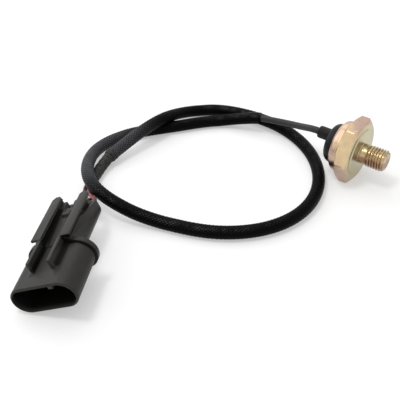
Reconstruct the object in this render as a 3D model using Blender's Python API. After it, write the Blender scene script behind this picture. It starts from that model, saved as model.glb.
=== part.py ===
"""Engine knock sensor with a sleeved lead and a three-way plug, as separate solids.

The sensor head lies on one flat of its hexagon with the stud along +X. The lead leaves the
head at -X, loops once over itself and ends in the plug, which lies tilted on the floor.
Lengths are in metres and the floor is z = 0.
"""

import math

import bmesh
import bpy
import numpy as np
from mathutils import Matrix, Vector

# Sensor head, measured along X from the seating face toward the tip of the stud.
ACROSS_FLATS = 0.027
STUD_DIAMETER = 0.010
STUD_LENGTH = 0.0124
STUD_TIP_DIAMETER = 0.0084
STUD_TIP_CHAMFER = 0.0009
SHANK_DIAMETER = 0.009
SHANK_LENGTH = 0.0036
WASHER_FACE_DIAMETER = 0.0212
WASHER_FACE_HEIGHT = 0.0004
FRONT_CHAMFER_DIAMETER = 0.0259
HEX_LENGTH = 0.0070
CHAMFER_SLOPE = math.tan(math.radians(30.0))
COLLAR_ROOT_DIAMETER = 0.0244
COLLAR_DIAMETER = 0.0230
COLLAR_BEND = 0.0096
LIP_DIAMETER = 0.0206
LIP_THICKNESS = 0.0007
HEAD_DEPTH = 0.0108
CAP_REAR = 0.0150
BOSS_REACH = 0.0212
FACE_X = (BOSS_REACH - STUD_LENGTH) / 2
AXIS_HEIGHT = ACROSS_FLATS / 2
LATHE_SEGMENTS = 48
SMALL_SEGMENTS = 28

# What the head holds, from the front wall of the bore backward.
GAP = 0.0003
BORE_DIAMETER = 0.0208
FRONT_WALL = 0.0026
PLATE_LEDGE = 0.0019
PLATE_ROOM = 0.0009
PLATE_THICKNESS = 0.0007
PIEZO_DIAMETER = 0.0120
PIEZO_THICKNESS = 0.0010
CLAMP_RING_WIDTH = 0.0012
CLAMP_RING_HEIGHT = 0.0010
TERMINAL_THICKNESS = 0.0005
SPRING_DIAMETER = 0.0042
SPRING_WIRE = 0.0005
SPRING_LENGTH = 0.0019
SPRING_TURNS = 2.5
SIGNAL_PAD_DIAMETER = 0.0050
TAIL_DIAMETER = 0.0009
O_RING_SECTION = 0.0010
O_RING_ROOM = 0.00025
CAP_NECK_DIAMETER = 0.0186
CAP_GROOVE_DEPTH = 0.0014
CAP_WALL = 0.0016
BOSS_DIAMETER = 0.0058
BOSS_RISE = 0.0029
BOSS_ROUNDING = 0.0008
GROMMET_DIAMETER = 0.0076
GROMMET_LENGTH = 0.0015

# Lead, sleeve, tape and wires. Route points are (x, y, z) in millimetres.
LEAD_DIAMETER = 0.0032
SLEEVE_DIAMETER = 0.0055
TAPE_DIAMETER = 0.0044
WIRE_DIAMETER = 0.0018
WIRE_SPREAD = 0.00122
WIRE_CLEARANCE = 0.0005
WIRE_STRAIGHT = 0.0024
CORD_STATION = 0.0062
WIRE_STATION = 0.0045
LEAD_ROUTE = [
    (-24.0, 1.8, 14.6), (-29.0, 4.1, 12.3), (-34.6, 5.8, 10.4), (-39.8, 6.4, 9.2), (-45.0, 6.2, 8.4),
]
LEAD_STRAIGHT = 0.0016
SLEEVE_START = (-51.4, 5.0, 7.8)
SLEEVE_ROUTE = [
    (-57.2, 3.4, 6.5), (-64.8, 0.8, 4.4), (-71.4, -3.4, 3.1), (-77.0, -9.2, 2.85),
    (-85.6, -20.5, 2.85), (-94.0, -31.5, 2.85), (-99.6, -40.5, 2.9), (-102.3, -51.0, 3.5),
    (-101.0, -61.0, 4.8), (-96.4, -70.2, 6.8), (-89.5, -78.6, 8.9), (-81.4, -84.9, 10.1),
    (-72.8, -88.0, 9.7), (-63.8, -87.6, 7.5), (-54.6, -85.2, 4.9), (-45.0, -81.8, 3.2),
    (-35.2, -78.6, 2.85), (-24.6, -74.0, 2.85), (-14.8, -66.9, 2.85), (-6.9, -57.4, 2.85),
    (-2.1, -45.8, 2.85), (-1.2, -33.4, 2.85), (-4.4, -20.6, 2.85), (-11.4, -8.8, 2.85),
    (-21.4, 0.9, 2.85), (-33.6, 7.6, 2.85), (-46.6, 10.8, 2.85), (-59.6, 10.5, 2.85),
    (-71.6, 7.7, 2.85), (-81.4, 2.2, 2.9), (-87.2, -5.4, 3.8), (-89.2, -15.0, 6.2),
    (-89.4, -25.5, 8.7), (-90.0, -36.0, 9.1), (-91.2, -46.0, 7.6), (-92.3, -54.5, 5.7),
]
TAPE_START = (-92.7, -61.0, 4.5)
TAPE_ROUTE = [(-92.2, -65.0, 3.7), (-91.2, -69.5, 3.0), (-89.8, -73.6, 2.6)]
TAPE_END = (-88.2, -77.4, 2.5)
# Wire points are (x, y, z) in millimetres in the plug's own frame.
RED_ROUTE = [
    (-7.6, 72.4, -4.0), (-6.2, 67.3, -3.1), (-3.6, 62.3, -1.9), (-0.4, 57.6, 0.2), (2.6, 53.6, 1.5),
]
BROWN_ROUTE = [
    (-9.5, 72.4, -3.5), (-8.7, 67.4, -2.8), (-7.1, 62.4, -1.6), (-4.8, 57.8, 0.3), (-1.9, 53.6, 1.6),
]
BLACK_ROUTE = [
    (-9.5, 73.3, -5.9), (-9.7, 68.0, -5.3), (-9.4, 63.0, -3.9), (-8.3, 58.0, -1.2), (-6.3, 53.6, 1.2),
]

# Plug, in its own frame: X across, Y backward from the mouth, Z up out of the clip side.
MOUTH_CENTRE = (-0.0463, -0.14375, 0.00985)
PLUG_HEADING = math.radians(27.6)
PLUG_NOD = math.radians(0.5)
PLUG_ROLL = math.radians(-22.2)
MOUTH_STRAIGHT = 0.0149
MOUTH_HEIGHT = 0.0092
SHROUD_WALL = 0.0015
SHROUD_LENGTH = 0.0208
MOUTH_DEPTH = 0.0196
RIM_ROUNDING = 0.0004
FLANGE_RADIUS = 0.0071
FLANGE_THICKNESS = 0.0022
BODY_LENGTH = 0.0480
BODY_WIDTH = 0.0154
BODY_BOTTOM = -0.0038
BODY_TOP = 0.0083
BODY_CORNER = 0.0044
BODY_WALL = 0.0011
WINDOW_LINE = [(33.0, 8.31), (36.0, 7.0), (47.5, 4.2), (49.0, 3.8)]
RAIL_TOP = 0.0103
RAIL_CAP_THICKNESS = 0.0009
RAIL_INNER = 0.0043
RAIL_OUTER = 0.00835
RAIL_END = 0.0466
RAIL_CHAMFER = 0.0011
WEB_INNER = 0.0046
WEB_OUTER = 0.0054
RIB_START = 0.0081
RIB_INNER = 0.0037
RIB_OUTER = 0.0051
DECK_REAR_HEIGHT = 0.0077
DECK_END = 0.0410
STRIP_INNER = 0.0030
STRIP_END = 0.0457
STRIP_LOW = 0.0045
SIDE_POCKET_START = 0.0395
POCKET_START = 0.0440
NIB_WIDTH = 0.0036
NIB_START = 0.0356
NIB_LENGTH = 0.0028
NIB_HEIGHT = 0.0012
RAMP_WIDTH = 0.0060
RAMP_START = 0.0040
RAMP_LENGTH = 0.0070
RAMP_HEIGHT = 0.0022
KEY_WIDTH = 0.0020
KEY_HEIGHT = 0.0010
KEY_OFFSET = 0.0052
KEY_END = 0.0150
WAYS = 3
PITCH = 0.0046
WAY_HEIGHT = 0.0018
SEAL_BORE = 0.0040
SEAL_START = 0.0403
SEAL_LENGTH = 0.0089
SEAL_RIB = 0.0002
SEAL_RIBS = 3
PIN_SLOT = 0.0029
PIN_SIZE = 0.0015
PIN_TIP = 0.0090
PIN_TAPER = 0.0012
CRIMP_SIZE = 0.0023
CRIMP_START = 0.0215
CRIMP_END = 0.0380
RETAINER_THICKNESS = 0.0018
RETAINER_HOLE = 0.0028
OVERLAP = 0.0006
NICK = 0.0001

MILLIMETRE = 0.001
HEAD_FRAME = Matrix.Translation((FACE_X, 0.0, AXIS_HEIGHT))
PLUG_FRAME = (
    Matrix.Translation(MOUTH_CENTRE)
    @ Matrix.Rotation(PLUG_HEADING, 4, "Z")
    @ Matrix.Rotation(PLUG_NOD, 4, "X")
    @ Matrix.Rotation(PLUG_ROLL, 4, "Y")
)


def clear_scene():
    """Removes whatever the scene starts with."""
    for thing in list(bpy.data.objects):
        bpy.data.objects.remove(thing)


def finish(name, colour, metallic, roughness):
    """Makes a plain material."""
    material = bpy.data.materials.new(name)
    material.use_nodes = True
    shader = material.node_tree.nodes["Principled BSDF"]
    shader.inputs["Base Color"].default_value = (*colour, 1.0)
    shader.inputs["Metallic"].default_value = metallic
    shader.inputs["Roughness"].default_value = roughness
    return material


def solid(name, points, faces, material=None):
    """Makes an object from points and faces, with its faces turned outward."""
    mesh = bpy.data.meshes.new(name)
    mesh.from_pydata([tuple(point) for point in points], [], faces)
    shape = bmesh.new()
    shape.from_mesh(mesh)
    bmesh.ops.recalc_face_normals(shape, faces=shape.faces)
    shape.to_mesh(mesh)
    shape.free()
    made = bpy.data.objects.new(name, mesh)
    bpy.context.collection.objects.link(made)
    if material:
        mesh.materials.append(material)
    return made


def stack(name, rings, material=None, closed=False):
    """Joins rings of equal point counts into a solid, capped at both ends or closed on itself."""
    count = len(rings[0])
    points = [point for ring in rings for point in ring]
    faces = []
    pairs = list(range(len(rings) - 1)) + ([len(rings) - 1] if closed else [])
    for lower in pairs:
        upper = (lower + 1) % len(rings)
        for k in range(count):
            after = (k + 1) % count
            low, high = lower * count, upper * count
            faces.append((low + k, low + after, high + after, high + k))
    if not closed:
        faces.append(tuple(range(count)))
        faces.append(tuple(range((len(rings) - 1) * count, len(rings) * count)))
    return solid(name, points, faces, material)


def lathe(name, outline, segments, material=None, hollow=False, rise=0.0):
    """Turns an outline of (x, radius) about the X axis, which may be raised by rise."""
    turns = [2 * math.pi * (k + 0.5) / segments for k in range(segments)]
    rings = [[(x, r * math.cos(t), r * math.sin(t) + rise) for t in turns] for x, r in outline]
    return stack(name, rings, material, closed=hollow)


def section(name, outline, start, end, material=None):
    """Extrudes an outline of (x, z) along Y from start to end."""
    return stack(name, [[(x, y, z) for x, z in outline] for y in (start, end)], material)


def block(name, low, high, material=None):
    """Makes a box between two corners."""
    outline = [(low[0], low[2]), (high[0], low[2]), (high[0], high[2]), (low[0], high[2])]
    return section(name, outline, low[1], high[1], material)


def obround(half_straight, radius, segments=LATHE_SEGMENTS):
    """Lists the outline of a slot shape with round ends, level along X."""
    half = segments // 2
    right = [math.pi * (k / half - 0.5) for k in range(half + 1)]
    left = [math.pi * (k / half + 0.5) for k in range(half + 1)]
    return [(half_straight + radius * math.cos(t), radius * math.sin(t)) for t in right] + [
        (-half_straight + radius * math.cos(t), radius * math.sin(t)) for t in left
    ]


def slot_stack(name, sections, material=None):
    """Joins slot shapes given as (y, half straight, radius) into a solid."""
    rings = [[(x, y, z) for x, z in obround(half, radius)] for y, half, radius in sections]
    return stack(name, rings, material)


def rod(name, start, end, radius, x=0.0, z=0.0, segments=SMALL_SEGMENTS, material=None):
    """Makes a round rod along Y."""
    turns = [2 * math.pi * k / segments for k in range(segments)]
    ring = [(x + radius * math.cos(t), z + radius * math.sin(t)) for t in turns]
    return section(name, ring, start, end, material)


def combine(base, others, operation):
    """Adds or cuts the other solids and leaves the result as the base's own mesh."""
    for other in others:
        step = base.modifiers.new(operation.lower(), "BOOLEAN")
        step.operation = operation
        step.object = other
        step.solver = "EXACT"
    bpy.context.view_layer.update()
    graph = bpy.context.evaluated_depsgraph_get()
    result = bpy.data.meshes.new_from_object(base.evaluated_get(graph))
    base.modifiers.clear()
    base.data = result
    for other in others:
        bpy.data.objects.remove(other)
    return base


def fuse(base, *others):
    """Adds the other solids to the base."""
    return combine(base, others, "UNION")


def cut(base, *others):
    """Cuts the other solids out of the base."""
    return combine(base, others, "DIFFERENCE")


def place(made, frame, sharp=30.0):
    """Moves a solid into the world and shades its round faces smooth."""
    made.data.transform(frame)
    made.data.shade_smooth()
    made.data.set_sharp_from_angle(angle=math.radians(sharp))
    return made


def smooth_path(route):
    """Reads a smooth curve through route points.

    Gives points close together, the distance to each, and the distance to each route point.
    """
    route = np.array(route, dtype=float)
    chords = np.linalg.norm(np.diff(route, axis=0), axis=1)
    count = len(route)
    system = np.zeros((count, count))
    target = np.zeros_like(route)
    system[0, :2] = 2.0, 1.0
    target[0] = 3 * (route[1] - route[0]) / chords[0]
    system[-1, -2:] = 1.0, 2.0
    target[-1] = 3 * (route[-1] - route[-2]) / chords[-1]
    for k in range(1, count - 1):
        before, after = chords[k - 1], chords[k]
        system[k, k - 1 : k + 2] = 1.0 / before, 2.0 / before + 2.0 / after, 1.0 / after
        target[k] = 3 * (route[k] - route[k - 1]) / before**2 + 3 * (route[k + 1] - route[k]) / after**2
    slopes = np.linalg.solve(system, target)
    steps = 24
    fine = []
    for k in range(count - 1):
        for j in range(steps):
            t = j / steps
            fine.append(
                (2 * t**3 - 3 * t**2 + 1) * route[k]
                + (t**3 - 2 * t**2 + t) * chords[k] * slopes[k]
                + (-2 * t**3 + 3 * t**2) * route[k + 1]
                + (t**3 - t**2) * chords[k] * slopes[k + 1]
            )
    fine = np.array([*fine, route[-1]])
    run = np.concatenate([[0.0], np.cumsum(np.linalg.norm(np.diff(fine, axis=0), axis=1))])
    return fine, run, run[::steps]


def tube(name, path, diameter, station, material, resolution, start=0.0, end=None):
    """Makes a round cord with closed ends along a smooth path, between two distances along it."""
    fine, run, _ = path
    end = run[-1] if end is None else end
    count = max(3, round((end - start) / station) + 1)
    square = station / 10
    stations = np.concatenate([[start], np.linspace(start + square, end - square, count), [end]])
    curve = bpy.data.curves.new(name, "CURVE")
    curve.dimensions = "3D"
    curve.bevel_depth = diameter / 2
    curve.bevel_resolution = resolution
    curve.use_fill_caps = True
    line = curve.splines.new("POLY")
    line.points.add(count + 1)
    for target, distance in zip(line.points, stations):
        target.co = (*(np.interp(distance, run, fine[:, axis]) for axis in range(3)), 1.0)
    line.use_smooth = True
    curve.materials.append(material)
    made = bpy.data.objects.new(name, curve)
    bpy.context.collection.objects.link(made)
    return made


def metres(points):
    """Turns route points in millimetres into metres."""
    return [tuple(value * MILLIMETRE for value in point) for point in points]


def from_plug(x, y, z):
    """Gives the world position of a point in the plug's frame."""
    return tuple(PLUG_FRAME @ Vector((x, y, z)))


# Positions along the head's axis that follow from the sizes above, measured from the face.
PLATE_FRONT = -FRONT_WALL - PLATE_ROOM - GAP
PLATE_BACK = PLATE_FRONT - PLATE_THICKNESS
PIEZO_BACK = PLATE_BACK - GAP - PIEZO_THICKNESS
RING_BACK = PLATE_BACK - GAP - CLAMP_RING_HEIGHT
WASHER_FRONT = RING_BACK - GAP
WASHER_BACK = WASHER_FRONT - TERMINAL_THICKNESS
SPRING_FRONT = PIEZO_BACK - GAP
PAD_FRONT = SPRING_FRONT - SPRING_LENGTH - GAP
PAD_BACK = PAD_FRONT - TERMINAL_THICKNESS
LIP_FRONT = -HEAD_DEPTH + LIP_THICKNESS
CAP_FRONT = WASHER_BACK - GAP
FLANGE_BACK = LIP_FRONT + GAP
CAP_FLOOR = -CAP_REAR + CAP_WALL - GAP
GROMMET_BACK = CAP_FLOOR + GAP
GROMMET_FRONT = GROMMET_BACK + GROMMET_LENGTH
LEAD_INNER_END = GROMMET_FRONT + GAP
TAIL_END = LEAD_INNER_END + GAP


def build_housing(steel):
    """Hexagon with stud and crimped collar, bored from the rear."""
    corner = ACROSS_FLATS / math.sqrt(3)
    angles = [math.pi / 3 * k for k in range(6)]
    hexagon = [(corner * math.cos(t), corner * math.sin(t)) for t in angles]
    rings = [[(x, y, z) for y, z in hexagon] for x in (-HEX_LENGTH, 0.0)]
    housing = stack("sensor_housing", rings, steel)
    front = FRONT_CHAMFER_DIAMETER / 2
    rear = COLLAR_ROOT_DIAMETER / 2
    reach = HEX_LENGTH / 3
    cone = [
        (OVERLAP, front - OVERLAP / CHAMFER_SLOPE),
        (-reach, front + reach / CHAMFER_SLOPE),
        (-HEX_LENGTH + reach, rear + reach / CHAMFER_SLOPE),
        (-HEX_LENGTH - OVERLAP, rear - OVERLAP / CHAMFER_SLOPE),
    ]
    combine(housing, [lathe("chamfers", cone, 2 * LATHE_SEGMENTS)], "INTERSECT")
    washer = WASHER_FACE_DIAMETER / 2
    stud = [
        (-OVERLAP, washer),
        (WASHER_FACE_HEIGHT, washer),
        (WASHER_FACE_HEIGHT, SHANK_DIAMETER / 2),
        (SHANK_LENGTH, SHANK_DIAMETER / 2),
        (SHANK_LENGTH + OVERLAP, STUD_DIAMETER / 2),
        (STUD_LENGTH - STUD_TIP_CHAMFER, STUD_DIAMETER / 2),
        (STUD_LENGTH, STUD_TIP_DIAMETER / 2),
    ]
    collar = [
        (-HEX_LENGTH + OVERLAP, rear - OVERLAP),
        (-HEX_LENGTH - OVERLAP, rear),
        (-COLLAR_BEND, COLLAR_DIAMETER / 2),
        ((-COLLAR_BEND - 2 * HEAD_DEPTH) / 3, (COLLAR_DIAMETER + LIP_DIAMETER) / 4 + OVERLAP / 3),
        (-HEAD_DEPTH, LIP_DIAMETER / 2),
    ]
    fuse(housing, lathe("stud", stud, LATHE_SEGMENTS), lathe("collar", collar, LATHE_SEGMENTS))
    bore = BORE_DIAMETER / 2
    mouth = CAP_NECK_DIAMETER / 2 + GAP
    cavity = [
        (-FRONT_WALL, bore - PLATE_LEDGE),
        (PLATE_FRONT + GAP, bore - PLATE_LEDGE),
        (PLATE_FRONT + GAP, bore),
        (LIP_FRONT, bore),
        (LIP_FRONT, mouth),
        (-HEAD_DEPTH - OVERLAP, mouth),
    ]
    cut(housing, lathe("cavity", cavity, LATHE_SEGMENTS))
    place(housing, HEAD_FRAME)


def build_sensing(steel, ceramic, spring_steel, brass):
    """Vibration plate, ceramic disc, clamp ring, spring and both terminals."""
    fit = BORE_DIAMETER / 2 - GAP
    plate = [(PLATE_FRONT, fit), (PLATE_BACK, fit)]
    place(lathe("vibration_plate", plate, LATHE_SEGMENTS, steel), HEAD_FRAME)
    disc = [(PLATE_BACK - GAP, PIEZO_DIAMETER / 2), (PIEZO_BACK, PIEZO_DIAMETER / 2)]
    place(lathe("piezo_disc", disc, LATHE_SEGMENTS, ceramic), HEAD_FRAME)
    inner = fit - CLAMP_RING_WIDTH
    ring = [(PLATE_BACK - GAP, inner), (PLATE_BACK - GAP, fit), (RING_BACK, fit), (RING_BACK, inner)]
    place(lathe("clamp_ring", ring, LATHE_SEGMENTS, steel, hollow=True), HEAD_FRAME)

    radius = (SPRING_DIAMETER - SPRING_WIRE) / 2
    turn_points = 10
    total = round(SPRING_TURNS * turn_points)
    travel = SPRING_LENGTH - SPRING_WIRE
    coil = []
    for k in range(total + 1):
        turn = 2 * math.pi * k / turn_points
        x = SPRING_FRONT - SPRING_WIRE / 2 - travel * k / total
        coil.append(HEAD_FRAME @ Vector((x, radius * math.cos(turn), radius * math.sin(turn))))
    spacing = 2 * math.pi * radius / turn_points
    tube("contact_spring", smooth_path(coil), SPRING_WIRE, spacing, spring_steel, 1)

    pad = [(PAD_FRONT, SIGNAL_PAD_DIAMETER / 2), (PAD_BACK, SIGNAL_PAD_DIAMETER / 2)]
    signal = lathe("signal_terminal", pad, SMALL_SEGMENTS, brass)
    tail = [(PAD_FRONT - TERMINAL_THICKNESS / 2, TAIL_DIAMETER / 2), (TAIL_END, TAIL_DIAMETER / 2)]
    fuse(signal, lathe("tail", tail, SMALL_SEGMENTS // 2, rise=BOSS_RISE / 2 + TAIL_DIAMETER / 3))
    place(signal, HEAD_FRAME)

    washer = [(WASHER_FRONT, inner), (WASHER_FRONT, fit), (WASHER_BACK, fit), (WASHER_BACK, inner)]
    ground = lathe("ground_terminal", washer, LATHE_SEGMENTS, brass, hollow=True)
    leg_low = BOSS_RISE + TAIL_DIAMETER
    nick = TERMINAL_THICKNESS / 8
    tongue = block(
        "tongue",
        (WASHER_BACK + nick, -TAIL_DIAMETER, leg_low),
        (WASHER_FRONT - nick, TAIL_DIAMETER, inner + OVERLAP),
    )
    leg = block(
        "leg",
        (TAIL_END, -TAIL_DIAMETER / 2, leg_low + nick),
        (WASHER_FRONT - 2 * nick, TAIL_DIAMETER / 2, leg_low + TERMINAL_THICKNESS),
    )
    fuse(ground, tongue, leg)
    place(ground, HEAD_FRAME)


def build_cap(plastic, rubber):
    """Rear cap with its cable boss, the ring that seals it and the grommet behind the boss."""
    shoulder = BORE_DIAMETER / 2 - GAP
    groove = shoulder - CAP_GROOVE_DEPTH
    neck = CAP_NECK_DIAMETER / 2
    groove_width = O_RING_SECTION + 2 * O_RING_ROOM
    ring_x = (CAP_FRONT + FLANGE_BACK) / 2
    outline = [
        (CAP_FRONT, shoulder),
        (ring_x + groove_width / 2, shoulder),
        (ring_x + groove_width / 2, groove),
        (ring_x - groove_width / 2, groove),
        (ring_x - groove_width / 2, shoulder),
        (FLANGE_BACK, shoulder),
        (FLANGE_BACK, neck),
    ]
    round_depth = CAP_REAR - HEAD_DEPTH - OVERLAP
    round_width = neck * 0.3
    for k in range(6):
        t = math.pi / 2 * k / 5
        x = -CAP_REAR + round_depth * (1 - math.sin(t))
        outline.append((x, neck - round_width * (1 - math.cos(t))))
    cap = lathe("rear_cap", outline, LATHE_SEGMENTS, plastic)
    radius = BOSS_DIAMETER / 2
    boss = [
        (-CAP_REAR + CAP_WALL / 2, radius),
        (-BOSS_REACH + BOSS_ROUNDING, radius),
        (-BOSS_REACH + BOSS_ROUNDING / 4, radius - BOSS_ROUNDING / 4),
        (-BOSS_REACH, radius - BOSS_ROUNDING),
    ]
    fuse(cap, lathe("boss", boss, SMALL_SEGMENTS, rise=BOSS_RISE))
    hollow = [(CAP_FRONT + OVERLAP, groove - CAP_WALL), (CAP_FLOOR, groove - CAP_WALL)]
    around = LEAD_DIAMETER / 2 + GAP
    passage = [(CAP_FLOOR + OVERLAP, around), (-BOSS_REACH - OVERLAP, around)]
    cut(
        cap,
        lathe("hollow", hollow, LATHE_SEGMENTS),
        lathe("passage", passage, SMALL_SEGMENTS, rise=BOSS_RISE),
    )
    place(cap, HEAD_FRAME)

    ring_radius = groove + (BORE_DIAMETER / 2 - groove) / 2
    turns = [2 * math.pi * k / 12 for k in range(12)]
    thick = O_RING_SECTION / 2
    ring = [(ring_x + thick * math.cos(t), ring_radius + thick * math.sin(t)) for t in turns]
    place(lathe("o_ring", ring, LATHE_SEGMENTS, rubber, hollow=True), HEAD_FRAME, 60.0)

    inner = LEAD_DIAMETER / 2 + GAP
    outer = GROMMET_DIAMETER / 2
    grommet = [(GROMMET_FRONT, inner), (GROMMET_FRONT, outer), (GROMMET_BACK, outer), (GROMMET_BACK, inner)]
    sleeve = lathe("lead_grommet", grommet, SMALL_SEGMENTS, rubber, hollow=True, rise=BOSS_RISE)
    place(sleeve, HEAD_FRAME)


def wire_routes():
    """Gives the three wires' routes in metres, from the end of the tape into the plug."""
    end = np.array(TAPE_END) * MILLIMETRE
    before = np.array(TAPE_ROUTE[-1]) * MILLIMETRE
    along = (end - before) / np.linalg.norm(end - before)
    side = np.cross(along, (0.0, 0.0, 1.0))
    side = -side / np.linalg.norm(side)
    rise = np.cross(side, along)
    rise = rise if rise[2] > 0 else -rise
    start = end + along * WIRE_CLEARANCE
    spread = {
        "red_wire": (1, side * math.cos(math.pi / 6) + rise * 0.5, RED_ROUTE),
        "brown_wire": (0, -side * math.cos(math.pi / 6) + rise * 0.5, BROWN_ROUTE),
        "black_wire": (-1, -rise, BLACK_ROUTE),
    }
    seal_end = SEAL_START + SEAL_LENGTH
    level = (seal_end + WIRE_STRAIGHT, seal_end - WIRE_STRAIGHT, SEAL_START, CRIMP_END + GAP)
    routes = {}
    for name, (way, offset, middle) in spread.items():
        first = tuple(start + offset * WIRE_SPREAD)
        outside = [from_plug(*point) for point in metres(middle)]
        inside = [from_plug(way * PITCH, y, WAY_HEIGHT) for y in level]
        routes[name] = [first, *outside, *inside]
    return routes


def build_cord(jacket, braid, tape, wires):
    """Lead, sleeve, tape and the three wires, each meeting the next end to end."""
    straight = (LEAD_INNER_END, (LEAD_INNER_END - BOSS_REACH) / 2, -BOSS_REACH, -BOSS_REACH - LEAD_STRAIGHT)
    lead = [(FACE_X + x, 0.0, AXIS_HEIGHT + BOSS_RISE) for x in straight] + metres(LEAD_ROUTE)
    sleeve = metres([SLEEVE_START, *SLEEVE_ROUTE])
    path = smooth_path([*lead, *sleeve, *metres([TAPE_START, *TAPE_ROUTE, TAPE_END])])
    sleeve_start = path[2][len(lead)]
    tape_start = path[2][len(lead) + len(sleeve)]
    half = GAP / 2
    tube("sensor_lead", path, LEAD_DIAMETER, CORD_STATION * 0.5, jacket, 2, 0.0, sleeve_start - half)
    covered = (sleeve_start + half, tape_start - half)
    tube("braided_sleeve", path, SLEEVE_DIAMETER, CORD_STATION, braid, 3, *covered)
    tube("tape_wrap", path, TAPE_DIAMETER, CORD_STATION * 0.6, tape, 3, tape_start + half)
    for name, route in wire_routes().items():
        tube(name, smooth_path(route), WIRE_DIAMETER, WIRE_STATION, wires[name], 2)


def body_outline():
    """Lists the rear body's section, square above and rounded below."""
    half = BODY_WIDTH / 2
    outline = [(half, BODY_TOP), (-half, BODY_TOP)]
    steps = 8
    for sign in (-1, 1):
        for k in range(steps + 1):
            t = math.pi / 2 * (k if sign < 0 else steps - k) / steps
            x = half - BODY_CORNER + BODY_CORNER * math.cos(t)
            z = BODY_BOTTOM + BODY_CORNER - BODY_CORNER * math.sin(t)
            outline.append((sign * x, z))
    return outline


def side_box(name, side, across, along, up):
    """Makes a box on one side of the plug, from its distances across, along and up."""
    x = sorted(side * value for value in across)
    return block(f"{name}{side}", (x[0], along[0], up[0]), (x[1], along[1], up[1]))


def side_prism(name, side, outline, across):
    """Extrudes an outline of (along, up) between two distances across, on one side of the plug."""
    rings = [[(side * x, y, z) for y, z in outline] for x in across]
    return stack(f"{name}{side}", rings)


def rail(side):
    """Makes one clip rail, with the corners of its rear end cut off."""
    low, high = RAIL_TOP - RAIL_CAP_THICKNESS, RAIL_TOP
    plan = [
        (RAIL_INNER, SHROUD_LENGTH),
        (RAIL_OUTER, SHROUD_LENGTH),
        (RAIL_OUTER, RAIL_END - RAIL_CHAMFER * 1.5),
        (RAIL_OUTER - RAIL_CHAMFER, RAIL_END),
        (RAIL_INNER + RAIL_CHAMFER, RAIL_END),
        (RAIL_INNER, RAIL_END - RAIL_CHAMFER),
    ]
    return stack(f"rail{side}", [[(side * x, y, z) for x, y in plan] for z in (low, high)])


def shell_parts(outer):
    """Lists what is moulded onto the shroud: body, rails with their webs and ribs, and the lock ramp."""
    cap_low = RAIL_TOP - RAIL_CAP_THICKNESS
    parts = [section("body", body_outline(), SHROUD_LENGTH + OVERLAP, BODY_LENGTH)]
    for side in (-1, 1):
        parts.append(rail(side))
        parts.append(
            side_box(
                "web",
                side,
                (WEB_INNER - OVERLAP, WEB_OUTER),
                (SHROUD_LENGTH + NICK, STRIP_END),
                (BODY_TOP - OVERLAP, cap_low + NICK),
            )
        )
        parts.append(
            side_box(
                "rib",
                side,
                (RIB_INNER, RIB_OUTER),
                (RIB_START, SHROUD_LENGTH + OVERLAP),
                (outer - 2 * OVERLAP, RAIL_TOP - NICK),
            )
        )
    ramp = [
        (RAMP_START, -outer + OVERLAP),
        (RAMP_START + RAMP_LENGTH, -outer + OVERLAP),
        (RAMP_START + RAMP_LENGTH, -outer - RAMP_HEIGHT),
        (RAMP_START + RAMP_LENGTH * 0.6, -outer - RAMP_HEIGHT),
    ]
    rings = [[(x, y, z) for y, z in ramp] for x in (-RAMP_WIDTH / 2, RAMP_WIDTH / 2)]
    parts.append(stack("ramp", rings))
    return parts


def shell_cuts(half, inner, outer):
    """Lists what is cut out of the housing: mouth, deck valley, windows, pockets and the three ways."""
    cap_low = RAIL_TOP - RAIL_CAP_THICKNESS
    past = BODY_LENGTH + OVERLAP
    pocket_x = BODY_WIDTH / 2 - BODY_WALL
    tail_x = WEB_OUTER + NICK
    gap_x = STRIP_INNER - NICK
    valley = [
        (SHROUD_LENGTH - NICK, outer),
        (DECK_END, DECK_REAR_HEIGHT),
        (past, DECK_REAR_HEIGHT),
        (past, cap_low),
        (SHROUD_LENGTH - NICK, cap_low),
    ]
    tools = [
        slot_stack("mouth", [(-OVERLAP, half, inner), (MOUTH_DEPTH, half, inner)]),
        stack("valley", [[(x, y, z) for y, z in valley] for x in (-WEB_INNER, WEB_INNER)]),
        block("deck_end", (-STRIP_INNER, DECK_END, STRIP_LOW), (STRIP_INNER, past, cap_low - NICK)),
        block("tail", (-tail_x, STRIP_END, STRIP_LOW), (tail_x, past, cap_low - 2 * NICK)),
        block(
            "pocket",
            (-pocket_x, POCKET_START, BODY_BOTTOM + BODY_WALL),
            (pocket_x, past, STRIP_LOW - NICK),
        ),
        block("pocket_top", (-gap_x, POCKET_START + NICK, 0.0), (gap_x, past, BODY_TOP)),
    ]
    window = metres(WINDOW_LINE)
    window += [(window[-1][0], cap_low - 3 * NICK), (window[0][0], cap_low - 3 * NICK)]
    for side in (-1, 1):
        tools.append(side_prism("window", side, window, (WEB_OUTER, BODY_WIDTH / 2 + OVERLAP)))
        tools.append(
            side_box(
                "side_pocket",
                side,
                (WEB_OUTER, pocket_x - NICK),
                (SIDE_POCKET_START, past),
                (STRIP_LOW - 2 * NICK, BODY_TOP),
            )
        )
    for way in range(WAYS):
        x = (way - (WAYS - 1) / 2) * PITCH
        tools.append(rod(f"slot{way}", MOUTH_DEPTH - OVERLAP, SEAL_START, PIN_SLOT / 2, x, WAY_HEIGHT))
        bore = (SEAL_START - GAP, POCKET_START + OVERLAP)
        tools.append(rod(f"bore{way}", *bore, SEAL_BORE / 2, x, WAY_HEIGHT))
    return tools


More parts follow.
